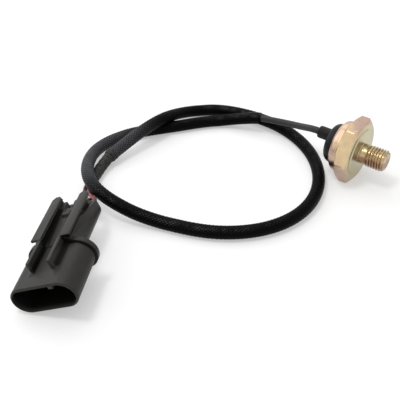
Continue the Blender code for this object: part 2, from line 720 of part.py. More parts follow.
def build_plug_housing(plastic):
    """Moulded housing: oval shroud, flange, body with clip rails and three ways through it."""
    half = MOUTH_STRAIGHT / 2
    inner = MOUTH_HEIGHT / 2
    outer = inner + SHROUD_WALL
    sections = [
        (0.0, half, outer - RIM_ROUNDING),
        (RIM_ROUNDING, half, outer),
        (SHROUD_LENGTH, half, outer),
        (SHROUD_LENGTH, half, FLANGE_RADIUS),
        (SHROUD_LENGTH + FLANGE_THICKNESS, half, FLANGE_RADIUS),
    ]
    shell = slot_stack("plug_housing", sections, plastic)
    fuse(shell, *shell_parts(outer))
    cut(shell, *shell_cuts(half, inner, outer))
    deck = DECK_REAR_HEIGHT - (DECK_REAR_HEIGHT - outer) * (DECK_END - NIB_START) / (DECK_END - SHROUD_LENGTH)
    nib = [
        (NIB_START, deck - OVERLAP),
        (NIB_START + NIB_LENGTH, deck - OVERLAP),
        (NIB_START + NIB_LENGTH, deck + NIB_HEIGHT),
        (NIB_START + NIB_LENGTH / 4, deck + NIB_HEIGHT),
    ]
    nib_rings = [[(x, y, z) for y, z in nib] for x in (-NIB_WIDTH / 2, NIB_WIDTH / 2)]
    key = block(
        "key",
        (KEY_OFFSET - KEY_WIDTH / 2, RIM_ROUNDING, inner - KEY_HEIGHT),
        (KEY_OFFSET + KEY_WIDTH / 2, KEY_END, inner + SHROUD_WALL / 2),
    )
    fuse(shell, stack("nib", nib_rings), key)
    place(shell, PLUG_FRAME)


def build_plug_inside(brass, seal_rubber, retainer_plastic):
    """Pins, wire seals and the plate at the mouth's floor that holds the pins upright."""
    quarter = Matrix.Rotation(math.pi / 2, 4, "Z")
    pin = PIN_SIZE / 2
    for way in range(WAYS):
        x = (way - (WAYS - 1) / 2) * PITCH
        frame = PLUG_FRAME @ Matrix.Translation((x, 0.0, WAY_HEIGHT)) @ quarter
        tip = pin - PIN_TAPER / 3
        squares = [(PIN_TIP, tip), (PIN_TIP + PIN_TAPER, pin), (CRIMP_START + OVERLAP, pin)]
        corners = ((1, 1), (-1, 1), (-1, -1), (1, -1))
        rings = [[(y, s * a, s * b) for a, b in corners] for y, s in squares]
        blade = stack(f"pin_terminal_{way + 1}", rings, brass)
        crimp = [(CRIMP_START, CRIMP_SIZE / 2), (CRIMP_END, CRIMP_SIZE / 2)]
        fuse(blade, lathe("crimp", crimp, SMALL_SEGMENTS))
        place(blade, frame)
        seal = lathe(f"wire_seal_{way + 1}", seal_outline(), SMALL_SEGMENTS, seal_rubber, hollow=True)
        place(seal, frame)

    half = MOUTH_STRAIGHT / 2
    back = MOUTH_DEPTH - GAP
    front = back - RETAINER_THICKNESS
    radius = MOUTH_HEIGHT / 2 - GAP
    holder = slot_stack("pin_retainer", [(front, half, radius), (back, half, radius)], retainer_plastic)
    holes = []
    for way in range(WAYS):
        x = (way - (WAYS - 1) / 2) * PITCH
        holes.append(rod(f"hole{way}", front - OVERLAP, back + OVERLAP, RETAINER_HOLE / 2, x, WAY_HEIGHT))
    cut(holder, *holes)
    place(holder, PLUG_FRAME)


def seal_outline():
    """Lists a wire seal's outline, ribbed along its front half, as (distance along the way, radius)."""
    hole = WIRE_DIAMETER / 2 + GAP
    wide = SEAL_BORE / 2 - GAP
    narrow = wide - SEAL_RIB
    pitch = SEAL_LENGTH / 2 / SEAL_RIBS
    outline = [(SEAL_START, hole), (SEAL_START, wide)]
    for k in range(1, SEAL_RIBS + 1):
        centre = SEAL_START + k * pitch
        outline += [(centre - pitch / 4, wide), (centre, narrow), (centre + pitch / 4, wide)]
    end = SEAL_START + SEAL_LENGTH
    return [*outline, (end, wide), (end, hole)]


def main():
    """Builds every piece."""
    clear_scene()
    plated = finish("plated_steel", (0.62, 0.54, 0.36), 1.0, 0.30)
    steel = finish("spring_steel", (0.55, 0.56, 0.58), 1.0, 0.30)
    ceramic = finish("piezo_ceramic", (0.72, 0.68, 0.58), 0.0, 0.45)
    brass = finish("brass", (0.78, 0.60, 0.28), 1.0, 0.30)
    black = finish("black_plastic", (0.02, 0.02, 0.02), 0.0, 0.45)
    rubber = finish("black_rubber", (0.03, 0.03, 0.03), 0.0, 0.65)
    build_housing(plated)
    build_sensing(steel, ceramic, steel, brass)
    build_cap(black, rubber)

    jacket = finish("lead_jacket", (0.05, 0.05, 0.05), 0.0, 0.55)
    braid = finish("sleeve_braid", (0.09, 0.09, 0.09), 0.0, 0.60)
    tape = finish("wrapping_tape", (0.04, 0.04, 0.04), 0.0, 0.50)
    wires = {
        "red_wire": finish("red_insulation", (0.40, 0.06, 0.09), 0.0, 0.40),
        "brown_wire": finish("brown_insulation", (0.09, 0.03, 0.02), 0.0, 0.40),
        "black_wire": finish("black_insulation", (0.02, 0.02, 0.02), 0.0, 0.40),
    }
    build_cord(jacket, braid, tape, wires)

    grey = finish("grey_plastic", (0.14, 0.14, 0.13), 0.0, 0.50)
    green = finish("seal_rubber", (0.01, 0.08, 0.05), 0.0, 0.60)
    dark = finish("dark_plastic", (0.03, 0.03, 0.03), 0.0, 0.50)
    build_plug_housing(grey)
    build_plug_inside(brass, green, dark)


main()
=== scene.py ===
"""Looks for the engine knock sensor: plated head, black cap, sleeved lead and three-way plug.

Sizes are in metres, unless a name or a docstring says millimetres. The sensor head lies on one
flat of its hexagon with the stud along +X, and the floor is z = 0.
"""

from __future__ import annotations

import logging
import math
from collections.abc import Callable, Sequence
from dataclasses import dataclass, field
from enum import Enum

import bmesh
import bpy
import numpy as np
from mathutils import Matrix, Vector


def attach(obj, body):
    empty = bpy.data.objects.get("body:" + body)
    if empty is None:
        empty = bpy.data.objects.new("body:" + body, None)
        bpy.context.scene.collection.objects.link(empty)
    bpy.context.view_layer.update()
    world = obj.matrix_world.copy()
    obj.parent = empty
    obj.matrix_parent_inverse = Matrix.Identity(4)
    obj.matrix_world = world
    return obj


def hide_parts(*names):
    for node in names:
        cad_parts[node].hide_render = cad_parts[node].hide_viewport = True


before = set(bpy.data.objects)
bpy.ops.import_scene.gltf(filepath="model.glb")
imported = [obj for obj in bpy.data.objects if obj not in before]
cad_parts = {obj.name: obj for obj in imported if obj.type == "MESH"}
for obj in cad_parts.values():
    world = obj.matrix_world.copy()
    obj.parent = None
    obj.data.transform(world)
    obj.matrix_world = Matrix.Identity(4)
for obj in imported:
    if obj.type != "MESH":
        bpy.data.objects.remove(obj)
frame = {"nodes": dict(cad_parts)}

MM = 0.001
TURN = 2 * math.pi
BODY = "root"
RUN_MAP = "Run"
LOG = logging.getLogger("knock_sensor")

# The head: its seating face on the X axis, and the hexagon's axis above the floor.
FACE_X = 0.0044
HEAD_CENTRE = (FACE_X, 0.0, 0.0135)
HEAD_FRAME = Matrix.Translation(HEAD_CENTRE)

# The plug: its frame, and the sizes that its plastic, its pieces and the wires share.
PLUG_FRAME = (
    Matrix.Translation((-0.0463, -0.14375, 0.00985))
    @ Matrix.Rotation(math.radians(27.6), 4, "Z")
    @ Matrix.Rotation(math.radians(0.5), 4, "X")
    @ Matrix.Rotation(math.radians(-22.2), 4, "Y")
)
MOUTH_HALF = 0.00745
MOUTH_DEPTH = 0.0196
PIN_PITCH = 0.0046
PIN_HEIGHT = 0.0018
SEAL_START = 0.0403
SEAL_LENGTH = 0.0089

Colour = tuple[float, float, float]
Point = tuple[float, float, float]


class Stiffness(Enum):
    """How readily a cord bends."""

    LIMP = "limp"
    MEDIUM = "medium"


class Kept(Enum):
    """What kind of value a curve's points keep."""

    NUMBER = "FLOAT"
    VECTOR = "VECTOR"


# ---------------------------------------------------------------- node trees


class Bench:
    """Adds nodes to one tree and links them."""

    def __init__(self, tree: bpy.types.NodeTree) -> None:
        """Keeps the tree.

        Args:
            tree: The node tree that the nodes go into.
        """
        self.tree = tree

    def plug_in(self, socket: bpy.types.NodeSocket, value: object) -> None:
        """Links a socket to an output, or sets its plain value.

        Args:
            socket: The input socket.
            value: An output socket, or the value to set.
        """
        if isinstance(value, bpy.types.NodeSocket):
            self.tree.links.new(value, socket)
        else:
            socket.default_value = value

    def add(self, kind: str, inputs: dict | None = None, **settings: object) -> bpy.types.Node:
        """Adds a node.

        Args:
            kind: The node's Blender type.
            inputs: Values or output sockets for its inputs, by name or number.
            settings: The node's own properties.

        Returns:
            The new node.
        """
        node = self.tree.nodes.new(kind)
        for name, value in settings.items():
            setattr(node, name, value)
        for key, value in (inputs or {}).items():
            self.plug_in(node.inputs[key], value)
        return node

    def math(self, operation: str, *values: object) -> bpy.types.NodeSocket:
        """Adds a Math node and gives its output."""
        return self.add("ShaderNodeMath", dict(enumerate(values)), operation=operation).outputs[0]

    def vector_math(self, operation: str, *values: object) -> bpy.types.NodeSocket:
        """Adds a Vector Math node and gives its vector output."""
        made = self.add("ShaderNodeVectorMath", dict(enumerate(values)), operation=operation)
        return made.outputs["Vector"]

    def split(self, vector: object) -> bpy.types.bpy_prop_collection:
        """Gives the X, Y and Z of a vector as sockets."""
        return self.add("ShaderNodeSeparateXYZ", {"Vector": vector}).outputs

    def dot(self, first: object, second: object) -> bpy.types.NodeSocket:
        """Gives the dot product of two vectors."""
        made = self.add("ShaderNodeVectorMath", {0: first, 1: second}, operation="DOT_PRODUCT")
        return made.outputs["Value"]

    def reach(self, first: object, second: object) -> bpy.types.NodeSocket:
        """Gives the length that two sides at right angles span."""
        squares = [self.math("POWER", side, 2.0) for side in (first, second)]
        return self.math("SQRT", self.math("ADD", *squares))

    def wave(self, phase: object) -> bpy.types.NodeSocket:
        """Gives the sine of a phase counted in turns."""
        return self.math("SINE", self.math("MULTIPLY", phase, TURN))

    def smooth_range(self, value: object, low: float, high: float) -> bpy.types.NodeSocket:
        """Gives 0 below low, 1 above high, and a smooth rise between them.

        Args:
            value: The value it reads.
            low: Where the rise starts.
            high: Where it ends, which lies below low for a fall.

        Returns:
            The share's socket.
        """
        inputs = {"Value": value, "From Min": low, "From Max": high}
        made = self.add("ShaderNodeMapRange", inputs, interpolation_type="SMOOTHSTEP")
        return made.outputs["Result"]


class ShaderBench(Bench):
    """Lays out one material."""

    @property
    def shader(self) -> bpy.types.Node:
        """The material's Principled shader."""
        return self.tree.nodes["Principled BSDF"]

    def place(self, centre: Point = (0.0, 0.0, 0.0)) -> bpy.types.NodeSocket:
        """Gives Object coordinates measured from a centre."""
        source = self.add("ShaderNodeTexCoord").outputs["Object"]
        return self.vector_math("SUBTRACT", source, centre)

    def noise(self, place: object, scale: float, detail: float = 2.0) -> bpy.types.NodeSocket:
        """Gives smooth noise from 0 to 1.

        Args:
            place: The coordinates it reads.
            scale: Features per metre.
            detail: How many finer octaves it has.

        Returns:
            The noise value's socket.
        """
        inputs = {"Vector": place, "Scale": scale, "Detail": detail}
        return self.add("ShaderNodeTexNoise", inputs).outputs["Fac"]

    def ramp(self, value: object, stops: Sequence[tuple[float, Colour]]) -> bpy.types.NodeSocket:
        """Turns a value into a colour through colour stops.

        Args:
            value: The value it reads, from 0 to 1.
            stops: (position, colour) pairs in order.

        Returns:
            The colour's socket.
        """
        node = self.add("ShaderNodeValToRGB", {"Fac": value})
        elements = node.color_ramp.elements
        while len(elements) < len(stops):
            elements.new(0.5)
        for element, (position, colour) in zip(elements, stops):
            element.position = position
            element.color = (*colour, 1.0)
        return node.outputs["Color"]

    def blend(self, share: object, first: object, second: object) -> bpy.types.NodeSocket:
        """Mixes two colours by a share.

        Args:
            share: How much of the second colour there is.
            first: The first colour, or its socket.
            second: The second colour, or its socket.

        Returns:
            The mixed colour's socket.
        """
        node = self.add("ShaderNodeMix", {"Factor": share}, data_type="RGBA")
        for socket, value in ((node.inputs[6], first), (node.inputs[7], second)):
            self.plug_in(socket, (*value, 1.0) if isinstance(value, tuple) else value)
        return node.outputs[2]

    def between(self, value: object, low: float, high: float) -> bpy.types.NodeSocket:
        """Spreads a value from 0 to 1 over a range of numbers."""
        inputs = {"Value": value, "To Min": low, "To Max": high}
        return self.add("ShaderNodeMapRange", inputs).outputs["Result"]

    def run(self) -> bpy.types.bpy_prop_collection:
        """Gives a cord's own map: X in millimetres along it, Y once round it."""
        return self.split(self.add("ShaderNodeUVMap", uv_map=RUN_MAP).outputs[0])

    def bump(self, height: object, depth: float, strength: float = 1.0) -> None:
        """Adds relief of a depth in metres, on top of any relief there is.

        Args:
            height: The relief's socket, as a share of the depth.
            depth: The depth.
            strength: How strongly it tilts the surface, from 0 to 1.
        """
        inputs = {"Height": height, "Distance": depth, "Strength": strength}
        normal = self.shader.inputs["Normal"]
        if normal.is_linked:
            inputs["Normal"] = normal.links[0].from_socket
        self.plug_in(normal, self.add("ShaderNodeBump", inputs).outputs["Normal"])

    def within(
        self, place: object, centre: Point, half: Point, soft: float = 0.0007
    ) -> bpy.types.NodeSocket:
        """Gives 1 inside a box, falling softly to 0 just outside it.

        Args:
            place: The coordinates it reads.
            centre: The box's middle.
            half: Half of the box's size each way.
            soft: How far outside the box it falls to 0.

        Returns:
            The share's socket.
        """
        away = self.vector_math("ABSOLUTE", self.vector_math("SUBTRACT", place, centre))
        parts = self.split(self.vector_math("SUBTRACT", away, half))
        far = self.math("MAXIMUM", self.math("MAXIMUM", parts["X"], parts["Y"]), parts["Z"])
        return self.smooth_range(far, soft, 0.0)

    def set(self, **values: object) -> None:
        """Sets the shader's own sockets, with underscores for spaces in their names.

        Args:
            values: A value or an output socket for each socket it sets.
        """
        for name, value in values.items():
            if isinstance(value, tuple):
                value = (*value, 1.0)
            self.plug_in(self.shader.inputs[name.replace("_", " ")], value)


# ------------------------------------------------------------------ finishes


@dataclass(frozen=True)
class Finish:
    """A surface finish, made into a node material the first time it is used."""

    name: str
    colour: Colour
    roughness: float

    def material(self) -> bpy.types.Material:
        """Gives the finish's material.

        Returns:
            The material, the same one each time.
        """
        made = bpy.data.materials.get(self.name)
        if made is None:
            made = bpy.data.materials.new(self.name)
            made.use_nodes = True
            self.lay_out(ShaderBench(made.node_tree))
        return made

    def lay_out(self, bench: ShaderBench) -> None:
        """Lays out the nodes.

        Args:
            bench: The material's bench.
        """
        raise NotImplementedError

    def shade(self, factor: float) -> Colour:
        """Gives the colour made lighter or darker by a factor."""
        return tuple(min(1.0, channel * factor) for channel in self.colour)


@dataclass(frozen=True)
class ChromatePlate(Finish):
    """Yellow-passivated zinc on turned steel: pink to gold on the sides, greenish on the face."""

    side_tints: tuple[Colour, ...] = (
        (0.47, 0.32, 0.26), (0.52, 0.37, 0.29), (0.68, 0.50, 0.31), (0.70, 0.58, 0.32),
    )
    face_tints: tuple[Colour, ...] = (
        (0.57, 0.48, 0.31), (0.54, 0.49, 0.33), (0.49, 0.49, 0.35),
    )
    gold_way: Point = (0.0, -0.866, 0.5)
    ring_pitch: float = 0.00042

    def lay_out(self, bench: ShaderBench) -> None:
        """Lays out drifting tints, turning marks round the axis and rubbed patches.

        Args:
            bench: The material's bench.
        """
        place = bench.place(HEAD_CENTRE)
        drift = bench.noise(place, 110.0, 2.0)
        fine = bench.noise(bench.vector_math("MULTIPLY", place, (0.6, 1.0, 1.0)), 520.0, 3.0)
        tint = bench.math(
            "ADD", bench.math("MULTIPLY", drift, 0.66), bench.math("MULTIPLY", fine, 0.34)
        )
        stops = [(0.40 + 0.10 * k, colour) for k, colour in enumerate(self.face_tints)]
        faces = bench.ramp(tint, stops)
        parts = bench.split(place)
        gold = bench.math(
            "MULTIPLY",
            bench.smooth_range(bench.dot(place, self.gold_way), 0.008, 0.0135),
            bench.smooth_range(parts["X"], -0.0076, -0.0066),
        )
        tint = bench.math(
            "ADD", bench.math("MULTIPLY", tint, 0.8), bench.math("MULTIPLY", gold, 0.19)
        )
        stops = [(0.28 + 0.12 * k, colour) for k, colour in enumerate(self.side_tints)]
        sides = bench.ramp(tint, stops)
        front = bench.smooth_range(parts["X"], -0.0006, 0.0)
        rings = bench.math("DIVIDE", bench.reach(parts["Y"], parts["Z"]), self.ring_pitch)
        turning = bench.math("MULTIPLY", front, bench.wave(rings))
        colour = bench.blend(front, sides, faces)
        patch = bench.smooth_range(bench.noise(place, 900.0, 4.0), 0.55, 0.75)
        bench.set(
            Base_Color=bench.blend(bench.math("MULTIPLY", patch, 0.25), colour, self.shade(0.6)),
            Metallic=1.0,
            Roughness=bench.between(fine, self.roughness - 0.08, self.roughness + 0.12),
        )
        bench.bump(turning, 0.000004)
        bench.bump(bench.noise(place, 2600.0, 3.0), 0.00001, 0.5)


@dataclass(frozen=True)
class ThreadPlate(Finish):
    """The darker, browner plating of the stud, paler on its thread's crests than in the roots, with
    painted reflection and highlight by height.
    """

    root_radius: float = 0.0043
    crest_radius: float = 0.00495
    # tints by height: the pale pink low stop is a painted reflection of the floor, and the lighter
    # gold stop above the middle a painted highlight
    tints: tuple[tuple[float, Colour], ...] = (
        (0.20, (0.68, 0.54, 0.44)), (0.38, (0.26, 0.14, 0.08)), (0.53, (0.32, 0.18, 0.10)),
        (0.64, (0.60, 0.44, 0.25)), (0.76, (0.20, 0.17, 0.08)),
    )

    def lay_out(self, bench: ShaderBench) -> None:
        """Lays out dark roots, bright crests, and a drifting brown tint that carries painted
        reflection and a painted highlight by height.

        Args:
            bench: The material's bench.
        """
        place = bench.place(HEAD_CENTRE)
        parts = bench.split(place)
        radius = bench.reach(parts["Y"], parts["Z"])
        crest = bench.smooth_range(radius, self.root_radius, self.crest_radius)
        drift = bench.noise(place, 260.0, 3.0)
        # painted reflection and highlight: the tint follows height, pale pink at the bottom, a
        # lighter gold band above the middle and dark olive along the top, with the drift making the
        # bands wander
        height = bench.math("DIVIDE", parts["Z"], 4 * self.crest_radius)
        level = bench.math("ADD", height, bench.math("MULTIPLY", drift, 0.5))
        brown = bench.ramp(bench.math("ADD", level, 0.25), self.tints)
        # the crests are blended paler than the roots
        paler_crests = bench.blend(bench.math("MULTIPLY", crest, 0.45), brown, (0.60, 0.50, 0.39))
        bench.set(
            Base_Color=paler_crests,
            Metallic=1.0,
            Roughness=bench.between(drift, self.roughness - 0.06, self.roughness + 0.14),
        )
        bench.bump(bench.noise(place, 3200.0, 3.0), 0.000012, 0.6)


@dataclass(frozen=True)
class BrightMetal(Finish):
    """Plain drawn or stamped metal, with fine scratches along one direction."""

    scratch: Point = (900.0, 7000.0, 7000.0)

    def lay_out(self, bench: ShaderBench) -> None:
        """Lays out stretched scratches and faint tarnish.

        Args:
            bench: The material's bench.
        """
        place = bench.place()
        lines = bench.noise(bench.vector_math("MULTIPLY", place, self.scratch), 1.0, 3.0)
        tarnish = bench.noise(place, 420.0, 2.0)
        bench.set(
            Base_Color=bench.ramp(tarnish, [(0.3, self.shade(0.7)), (0.7, self.shade(1.1))]),
            Metallic=1.0,
            Roughness=bench.between(lines, self.roughness - 0.1, self.roughness + 0.1),
        )
        bench.bump(lines, 0.000006, 0.6)


@dataclass(frozen=True)
class MouldedPlastic(Finish):
    """Injection-moulded plastic: a fine spark-eroded grain, flow marks and rubbed high spots."""

    grain: float = 0.00001
    scuff: float = 0.3
    gloss: float = 0.22

    def depth(self, bench: ShaderBench) -> bpy.types.NodeSocket | float:
        """Gives the share of each place that gets painted shade, as where it lies in a hollow."""
        return 0.0

    def lay_out(self, bench: ShaderBench) -> None:
        """Lays out the grain, the soft flow marks, the scuffs and the painted shade in hollows.

        Args:
            bench: The material's bench.
        """
        place = bench.place()
        flow = bench.noise(bench.vector_math("MULTIPLY", place, (1.0, 0.35, 1.0)), 150.0, 2.0)
        grain = bench.noise(place, 5200.0, 2.0)
        rub = bench.smooth_range(bench.noise(place, 700.0, 5.0), 0.56, 0.78)
        tone = bench.ramp(flow, [(0.25, self.shade(0.82)), (0.75, self.shade(1.18))])
        rubbed = bench.blend(bench.math("MULTIPLY", rub, self.scuff), tone, self.shade(1.7))
        bench.set(
            # painted shade: places in hollows are blended towards a dark shade of the colour
            Base_Color=bench.blend(self.depth(bench), rubbed, self.shade(0.12)),
            Roughness=bench.between(flow, self.roughness - 0.06, self.roughness + 0.08),
            Specular_IOR_Level=self.gloss,
        )
        bench.bump(grain, self.grain, 0.7)


@dataclass(frozen=True)
class HollowedPlastic(MouldedPlastic):
    """The plug's plastic, with painted shade inside its mouth, in its recesses and on its flange's
    front face.
    """

    mouth_shade_reach: float = 0.0052
    # boxes of painted shade: beside the rails and the ribs, in the rear pocket, and on the flange's
    # front face
    recesses: tuple[tuple[Point, Point], ...] = (
        ((-0.0041, 0.0305, 0.0077), (0.0008, 0.0105, 0.0012)),
        ((0.0051, 0.0450, 0.0045), (0.0016, 0.0046, 0.0024)),
        ((0.0008, 0.0465, 0.0040), (0.0060, 0.0050, 0.0016)),
        ((-0.0041, 0.0130, 0.0069), (0.0008, 0.0070, 0.0008)),
        ((0.0056, 0.0155, 0.0068), (0.0008, 0.0060, 0.0008)),
        ((0.0, 0.0207, 0.0), (0.0200, 0.0001, 0.0200)),
    )

    def depth(self, bench: ShaderBench) -> bpy.types.NodeSocket:
        """Lays out the painted shade of the mouth and the recesses in the plug's own frame.

        Args:
            bench: The material's bench.

        Returns:
            The share's socket.
        """
        inputs = {
            "Vector": bench.place(),
            "Location": PLUG_FRAME.translation,
            "Rotation": PLUG_FRAME.to_euler(),
        }
        place = bench.add("ShaderNodeMapping", inputs, vector_type="TEXTURE").outputs[0]
        parts = bench.split(place)
        # painted shade inside the mouth, starting just inside its rim and ending at its floor
        past = bench.math("SUBTRACT", bench.math("ABSOLUTE", parts["X"]), MOUTH_HALF)
        reach = bench.reach(bench.math("MAXIMUM", past, 0.0), parts["Z"])
        share = bench.smooth_range(reach, self.mouth_shade_reach + 0.0004, self.mouth_shade_reach)
        for low, high in ((0.0002, 0.0025), (MOUTH_DEPTH + 0.001, MOUTH_DEPTH)):
            share = bench.math("MULTIPLY", share, bench.smooth_range(parts["Y"], low, high))
        for centre, half in self.recesses:
            share = bench.math("MAXIMUM", share, bench.within(place, centre, half))
        return share


@dataclass(frozen=True)
class Rubber(Finish):
    """Soft matt rubber with a bloom of dust."""

    def lay_out(self, bench: ShaderBench) -> None:
        """Lays out the bloom and a fine pebbled skin.

        Args:
            bench: The material's bench.
        """
        place = bench.place()
        bloom = bench.smooth_range(bench.noise(place, 380.0, 4.0), 0.4, 0.8)
        dust = bench.math("MULTIPLY", bloom, 0.3)
        bench.set(
            Base_Color=bench.blend(dust, self.colour, self.shade(1.8)),
            Roughness=bench.between(bloom, self.roughness - 0.05, self.roughness + 0.1),
            Specular_IOR_Level=0.3,
        )
        bench.bump(bench.noise(place, 4200.0, 2.0), 0.000014, 0.6)


@dataclass(frozen=True)
class Insulation(Finish):
    """Smooth extruded wire insulation, a little darker where it was handled."""

    def lay_out(self, bench: ShaderBench) -> None:
        """Lays out handling marks and the extruder's long waves.

        Args:
            bench: The material's bench.
        """
        place = bench.place()
        marks = bench.noise(place, 520.0, 3.0)
        bench.set(
            Base_Color=bench.ramp(marks, [(0.3, self.shade(0.7)), (0.7, self.shade(1.15))]),
            Roughness=bench.between(marks, self.roughness - 0.06, self.roughness + 0.1),
            Specular_IOR_Level=0.3,
        )
        bench.bump(bench.noise(place, 1500.0, 2.0), 0.00001, 0.5)


@dataclass(frozen=True)
class Ceramic(Finish):
    """Fired ceramic with a thin silver coat rubbed through at places."""

    def lay_out(self, bench: ShaderBench) -> None:
        """Lays out the coat's patches over the ceramic.

        Args:
            bench: The material's bench.
        """
        place = bench.place()
        coat = bench.smooth_range(bench.noise(place, 900.0, 4.0), 0.35, 0.5)
        bench.set(
            Base_Color=bench.blend(coat, self.colour, (0.62, 0.62, 0.60)),
            Metallic=bench.math("MULTIPLY", coat, 0.9),
            Roughness=self.roughness,
        )
        bench.bump(bench.noise(place, 3000.0, 3.0), 0.000008, 0.6)


@dataclass(frozen=True)
class WovenYarn(Finish):
    """Braided black yarn, with painted light on the loop near the tape and a painted highlight
    along its top.
    """

    strands: int = 12
    lay_mm: float = 1.7
    filaments: int = 3
    # centre of the painted light on the loop by the tape
    lit_loop_at: Point = (-0.0975, -0.066, 0.010)
    # the way that surfaces with the painted highlight face
    highlight_way: Point = (0.05, -0.52, 0.853)

    def lay_out(self, bench: ShaderBench) -> None:
        """Lays out both sets of strands with filaments along each, painted lighter on top and
        painted dark as shade in the gaps, with painted light on one loop and a painted highlight.

        Args:
            bench: The material's bench.
        """
        run = bench.run()
        along = bench.math("DIVIDE", run["X"], self.lay_mm)
        round_way = bench.math("MULTIPLY", run["Y"], float(self.strands))
        ways = [bench.math(operation, round_way, along) for operation in ("ADD", "SUBTRACT")]
        over = bench.math(
            "MULTIPLY", *(bench.wave(bench.math("MULTIPLY", way, 0.5)) for way in ways)
        )
        on_top = bench.smooth_range(over, -0.08, 0.08)
        first, second = (
            bench.wave(bench.math("MULTIPLY", way, float(self.filaments))) for way in ways
        )
        inputs = {"Factor": on_top, "A": first, "B": second}
        lines = bench.add("ShaderNodeMix", inputs, data_type="FLOAT").outputs[0]
        height = bench.math("ABSOLUTE", over)
        gap = bench.smooth_range(height, 0.0, 0.35)
        place = bench.place()
        speckle = bench.noise(place, 300.0, 3.0)
        # painted light and shade of the weave: raised crossings and filament crests are lighter,
        # the gaps between the strands dark, varied at random by noise
        light = bench.math("MULTIPLY", gap, bench.between(speckle, 0.35, 1.0))
        light = bench.math("MULTIPLY", light, bench.between(lines, 0.8, 1.0))
        # painted light: yarn near one point on the loop by the tape is blended towards a pale
        # colour, as if lit more strongly
        offset = bench.place(self.lit_loop_at)
        away = bench.math("SQRT", bench.dot(offset, offset))
        painted_light = bench.smooth_range(away, 0.040, 0.014)
        # painted highlight: pale specks on the raised strands whose surface faces one fixed way, up
        # and towards the front
        normal = bench.add("ShaderNodeNewGeometry").outputs["Normal"]
        painted_highlight = bench.smooth_range(bench.dot(normal, self.highlight_way), 0.88, 0.99)
        painted_highlight = bench.math("MULTIPLY", painted_highlight, bench.smooth_range(height, 0.2, 0.7))
        painted_highlight = bench.math("MULTIPLY", painted_highlight, bench.smooth_range(speckle, 0.30, 0.80))
        painted_light = bench.math("MAXIMUM", painted_light, painted_highlight)
        yarn = bench.ramp(light, [(0.0, self.shade(0.35)), (0.9, self.shade(1.5))])
        pale = bench.ramp(light, [(0.0, self.shade(8.0)), (0.9, self.shade(85.0))])
        bench.set(
            Base_Color=bench.blend(painted_light, yarn, pale),
            Roughness=self.roughness,
            Specular_IOR_Level=0.04,
        )
        bench.bump(lines, 0.00003, 0.5)
        bench.bump(gap, 0.00008, 0.6)


@dataclass(frozen=True)
class ClothTape(Finish):
    """Black cloth tape with fine cross threads and a mottled face."""

    threads_mm: float = 0.9
    rows: float = 34.0
    turn_length: float = 0.0031
    hold_length: float = 0.0026
    hold_end: float = 0.0042
    lap: float = 0.86
    swell: float = 3.4

    def lay_out(self, bench: ShaderBench) -> None:
        """Lays out the cross threads and a mottled face.

        Args:
            bench: The material's bench.
        """
        run = bench.run()
        ribs = bench.wave(bench.math("DIVIDE", run["X"], self.threads_mm))
        rows = bench.wave(bench.math("MULTIPLY", run["Y"], self.rows))
        mottle = bench.noise(bench.place(), 800.0, 3.0)
        light = bench.math("ADD", bench.math("MULTIPLY", ribs, 0.34), mottle)
        bench.set(
            Base_Color=bench.ramp(light, [(0.34, self.shade(0.08)), (0.72, self.shade(1.9))]),
            Roughness=self.roughness,
            Specular_IOR_Level=0.10,
        )
        bench.bump(bench.math("ADD", ribs, bench.math("MULTIPLY", rows, 0.4)), 0.00006, 0.8)


CHROMATE = ChromatePlate("yellow_chromate", (0.50, 0.38, 0.26), 0.30)
STUD_PLATE = ThreadPlate("brown_stud_plate", (0.44, 0.28, 0.15), 0.25)
SPRING_STEEL = BrightMetal("drawn_steel", (0.55, 0.56, 0.58), 0.30)
BRASS = BrightMetal("stamped_brass", (0.78, 0.60, 0.28), 0.28)
CERAMIC = Ceramic("silvered_ceramic", (0.72, 0.68, 0.58), 0.42)
CAP_PLASTIC = MouldedPlastic("black_cap_plastic", (0.008, 0.008, 0.008), 0.36, gloss=0.14)
PLUG_PLASTIC = HollowedPlastic("grey_plug_plastic", (0.027, 0.0262, 0.0226), 0.42, gloss=0.18)
DARK_PLASTIC = MouldedPlastic("dark_plate_plastic", (0.02, 0.02, 0.022), 0.48)
BLACK_RUBBER = Rubber("black_rubber_skin", (0.02, 0.02, 0.02), 0.62)
GREEN_RUBBER = Rubber("green_seal_rubber", (0.001, 0.012, 0.007), 0.6)
JACKET = Rubber("black_lead_jacket", (0.018, 0.018, 0.0185), 0.50)
YARN = WovenYarn("black_braid_yarn", (0.0012, 0.0012, 0.0013), 0.21)
TAPE = ClothTape("black_cloth_tape", (0.040, 0.040, 0.039), 0.5)
RED = Insulation("red_wire_skin", (0.14, 0.006, 0.010), 0.36)
BROWN = Insulation("brown_wire_skin", (0.06, 0.018, 0.012), 0.4)
BLACK = Insulation("black_wire_skin", (0.006, 0.006, 0.006), 0.4)


# -------------------------------------------------------------------- meshes


def link_mesh(name: str, mesh: bpy.types.Mesh) -> bpy.types.Object:
    """Puts a mesh into the scene as an object at the origin.

    Args:
        name: The piece's name.
        mesh: Its mesh, already in place.

    Returns:
        The new object.
    """
    made = bpy.data.objects.new(name, mesh)
    bpy.context.scene.collection.objects.link(made)
    return made


def settle(made: bpy.types.Object) -> bpy.types.Object:
    """Swaps an object's modifiers for the plain mesh they make.

    Args:
        made: The object, at the origin.

    Returns:
        The same object.
    """
    bpy.context.view_layer.update()
    graph = bpy.context.evaluated_depsgraph_get()
    mesh = bpy.data.meshes.new_from_object(made.evaluated_get(graph), depsgraph=graph)
    made.modifiers.clear()
    made.data = mesh
    return made


def smooth(mesh: bpy.types.Mesh, degrees: float) -> None:
    """Shades a mesh smooth except across edges sharper than an angle."""
    mesh.shade_smooth()
    mesh.set_sharp_from_angle(angle=math.radians(degrees))


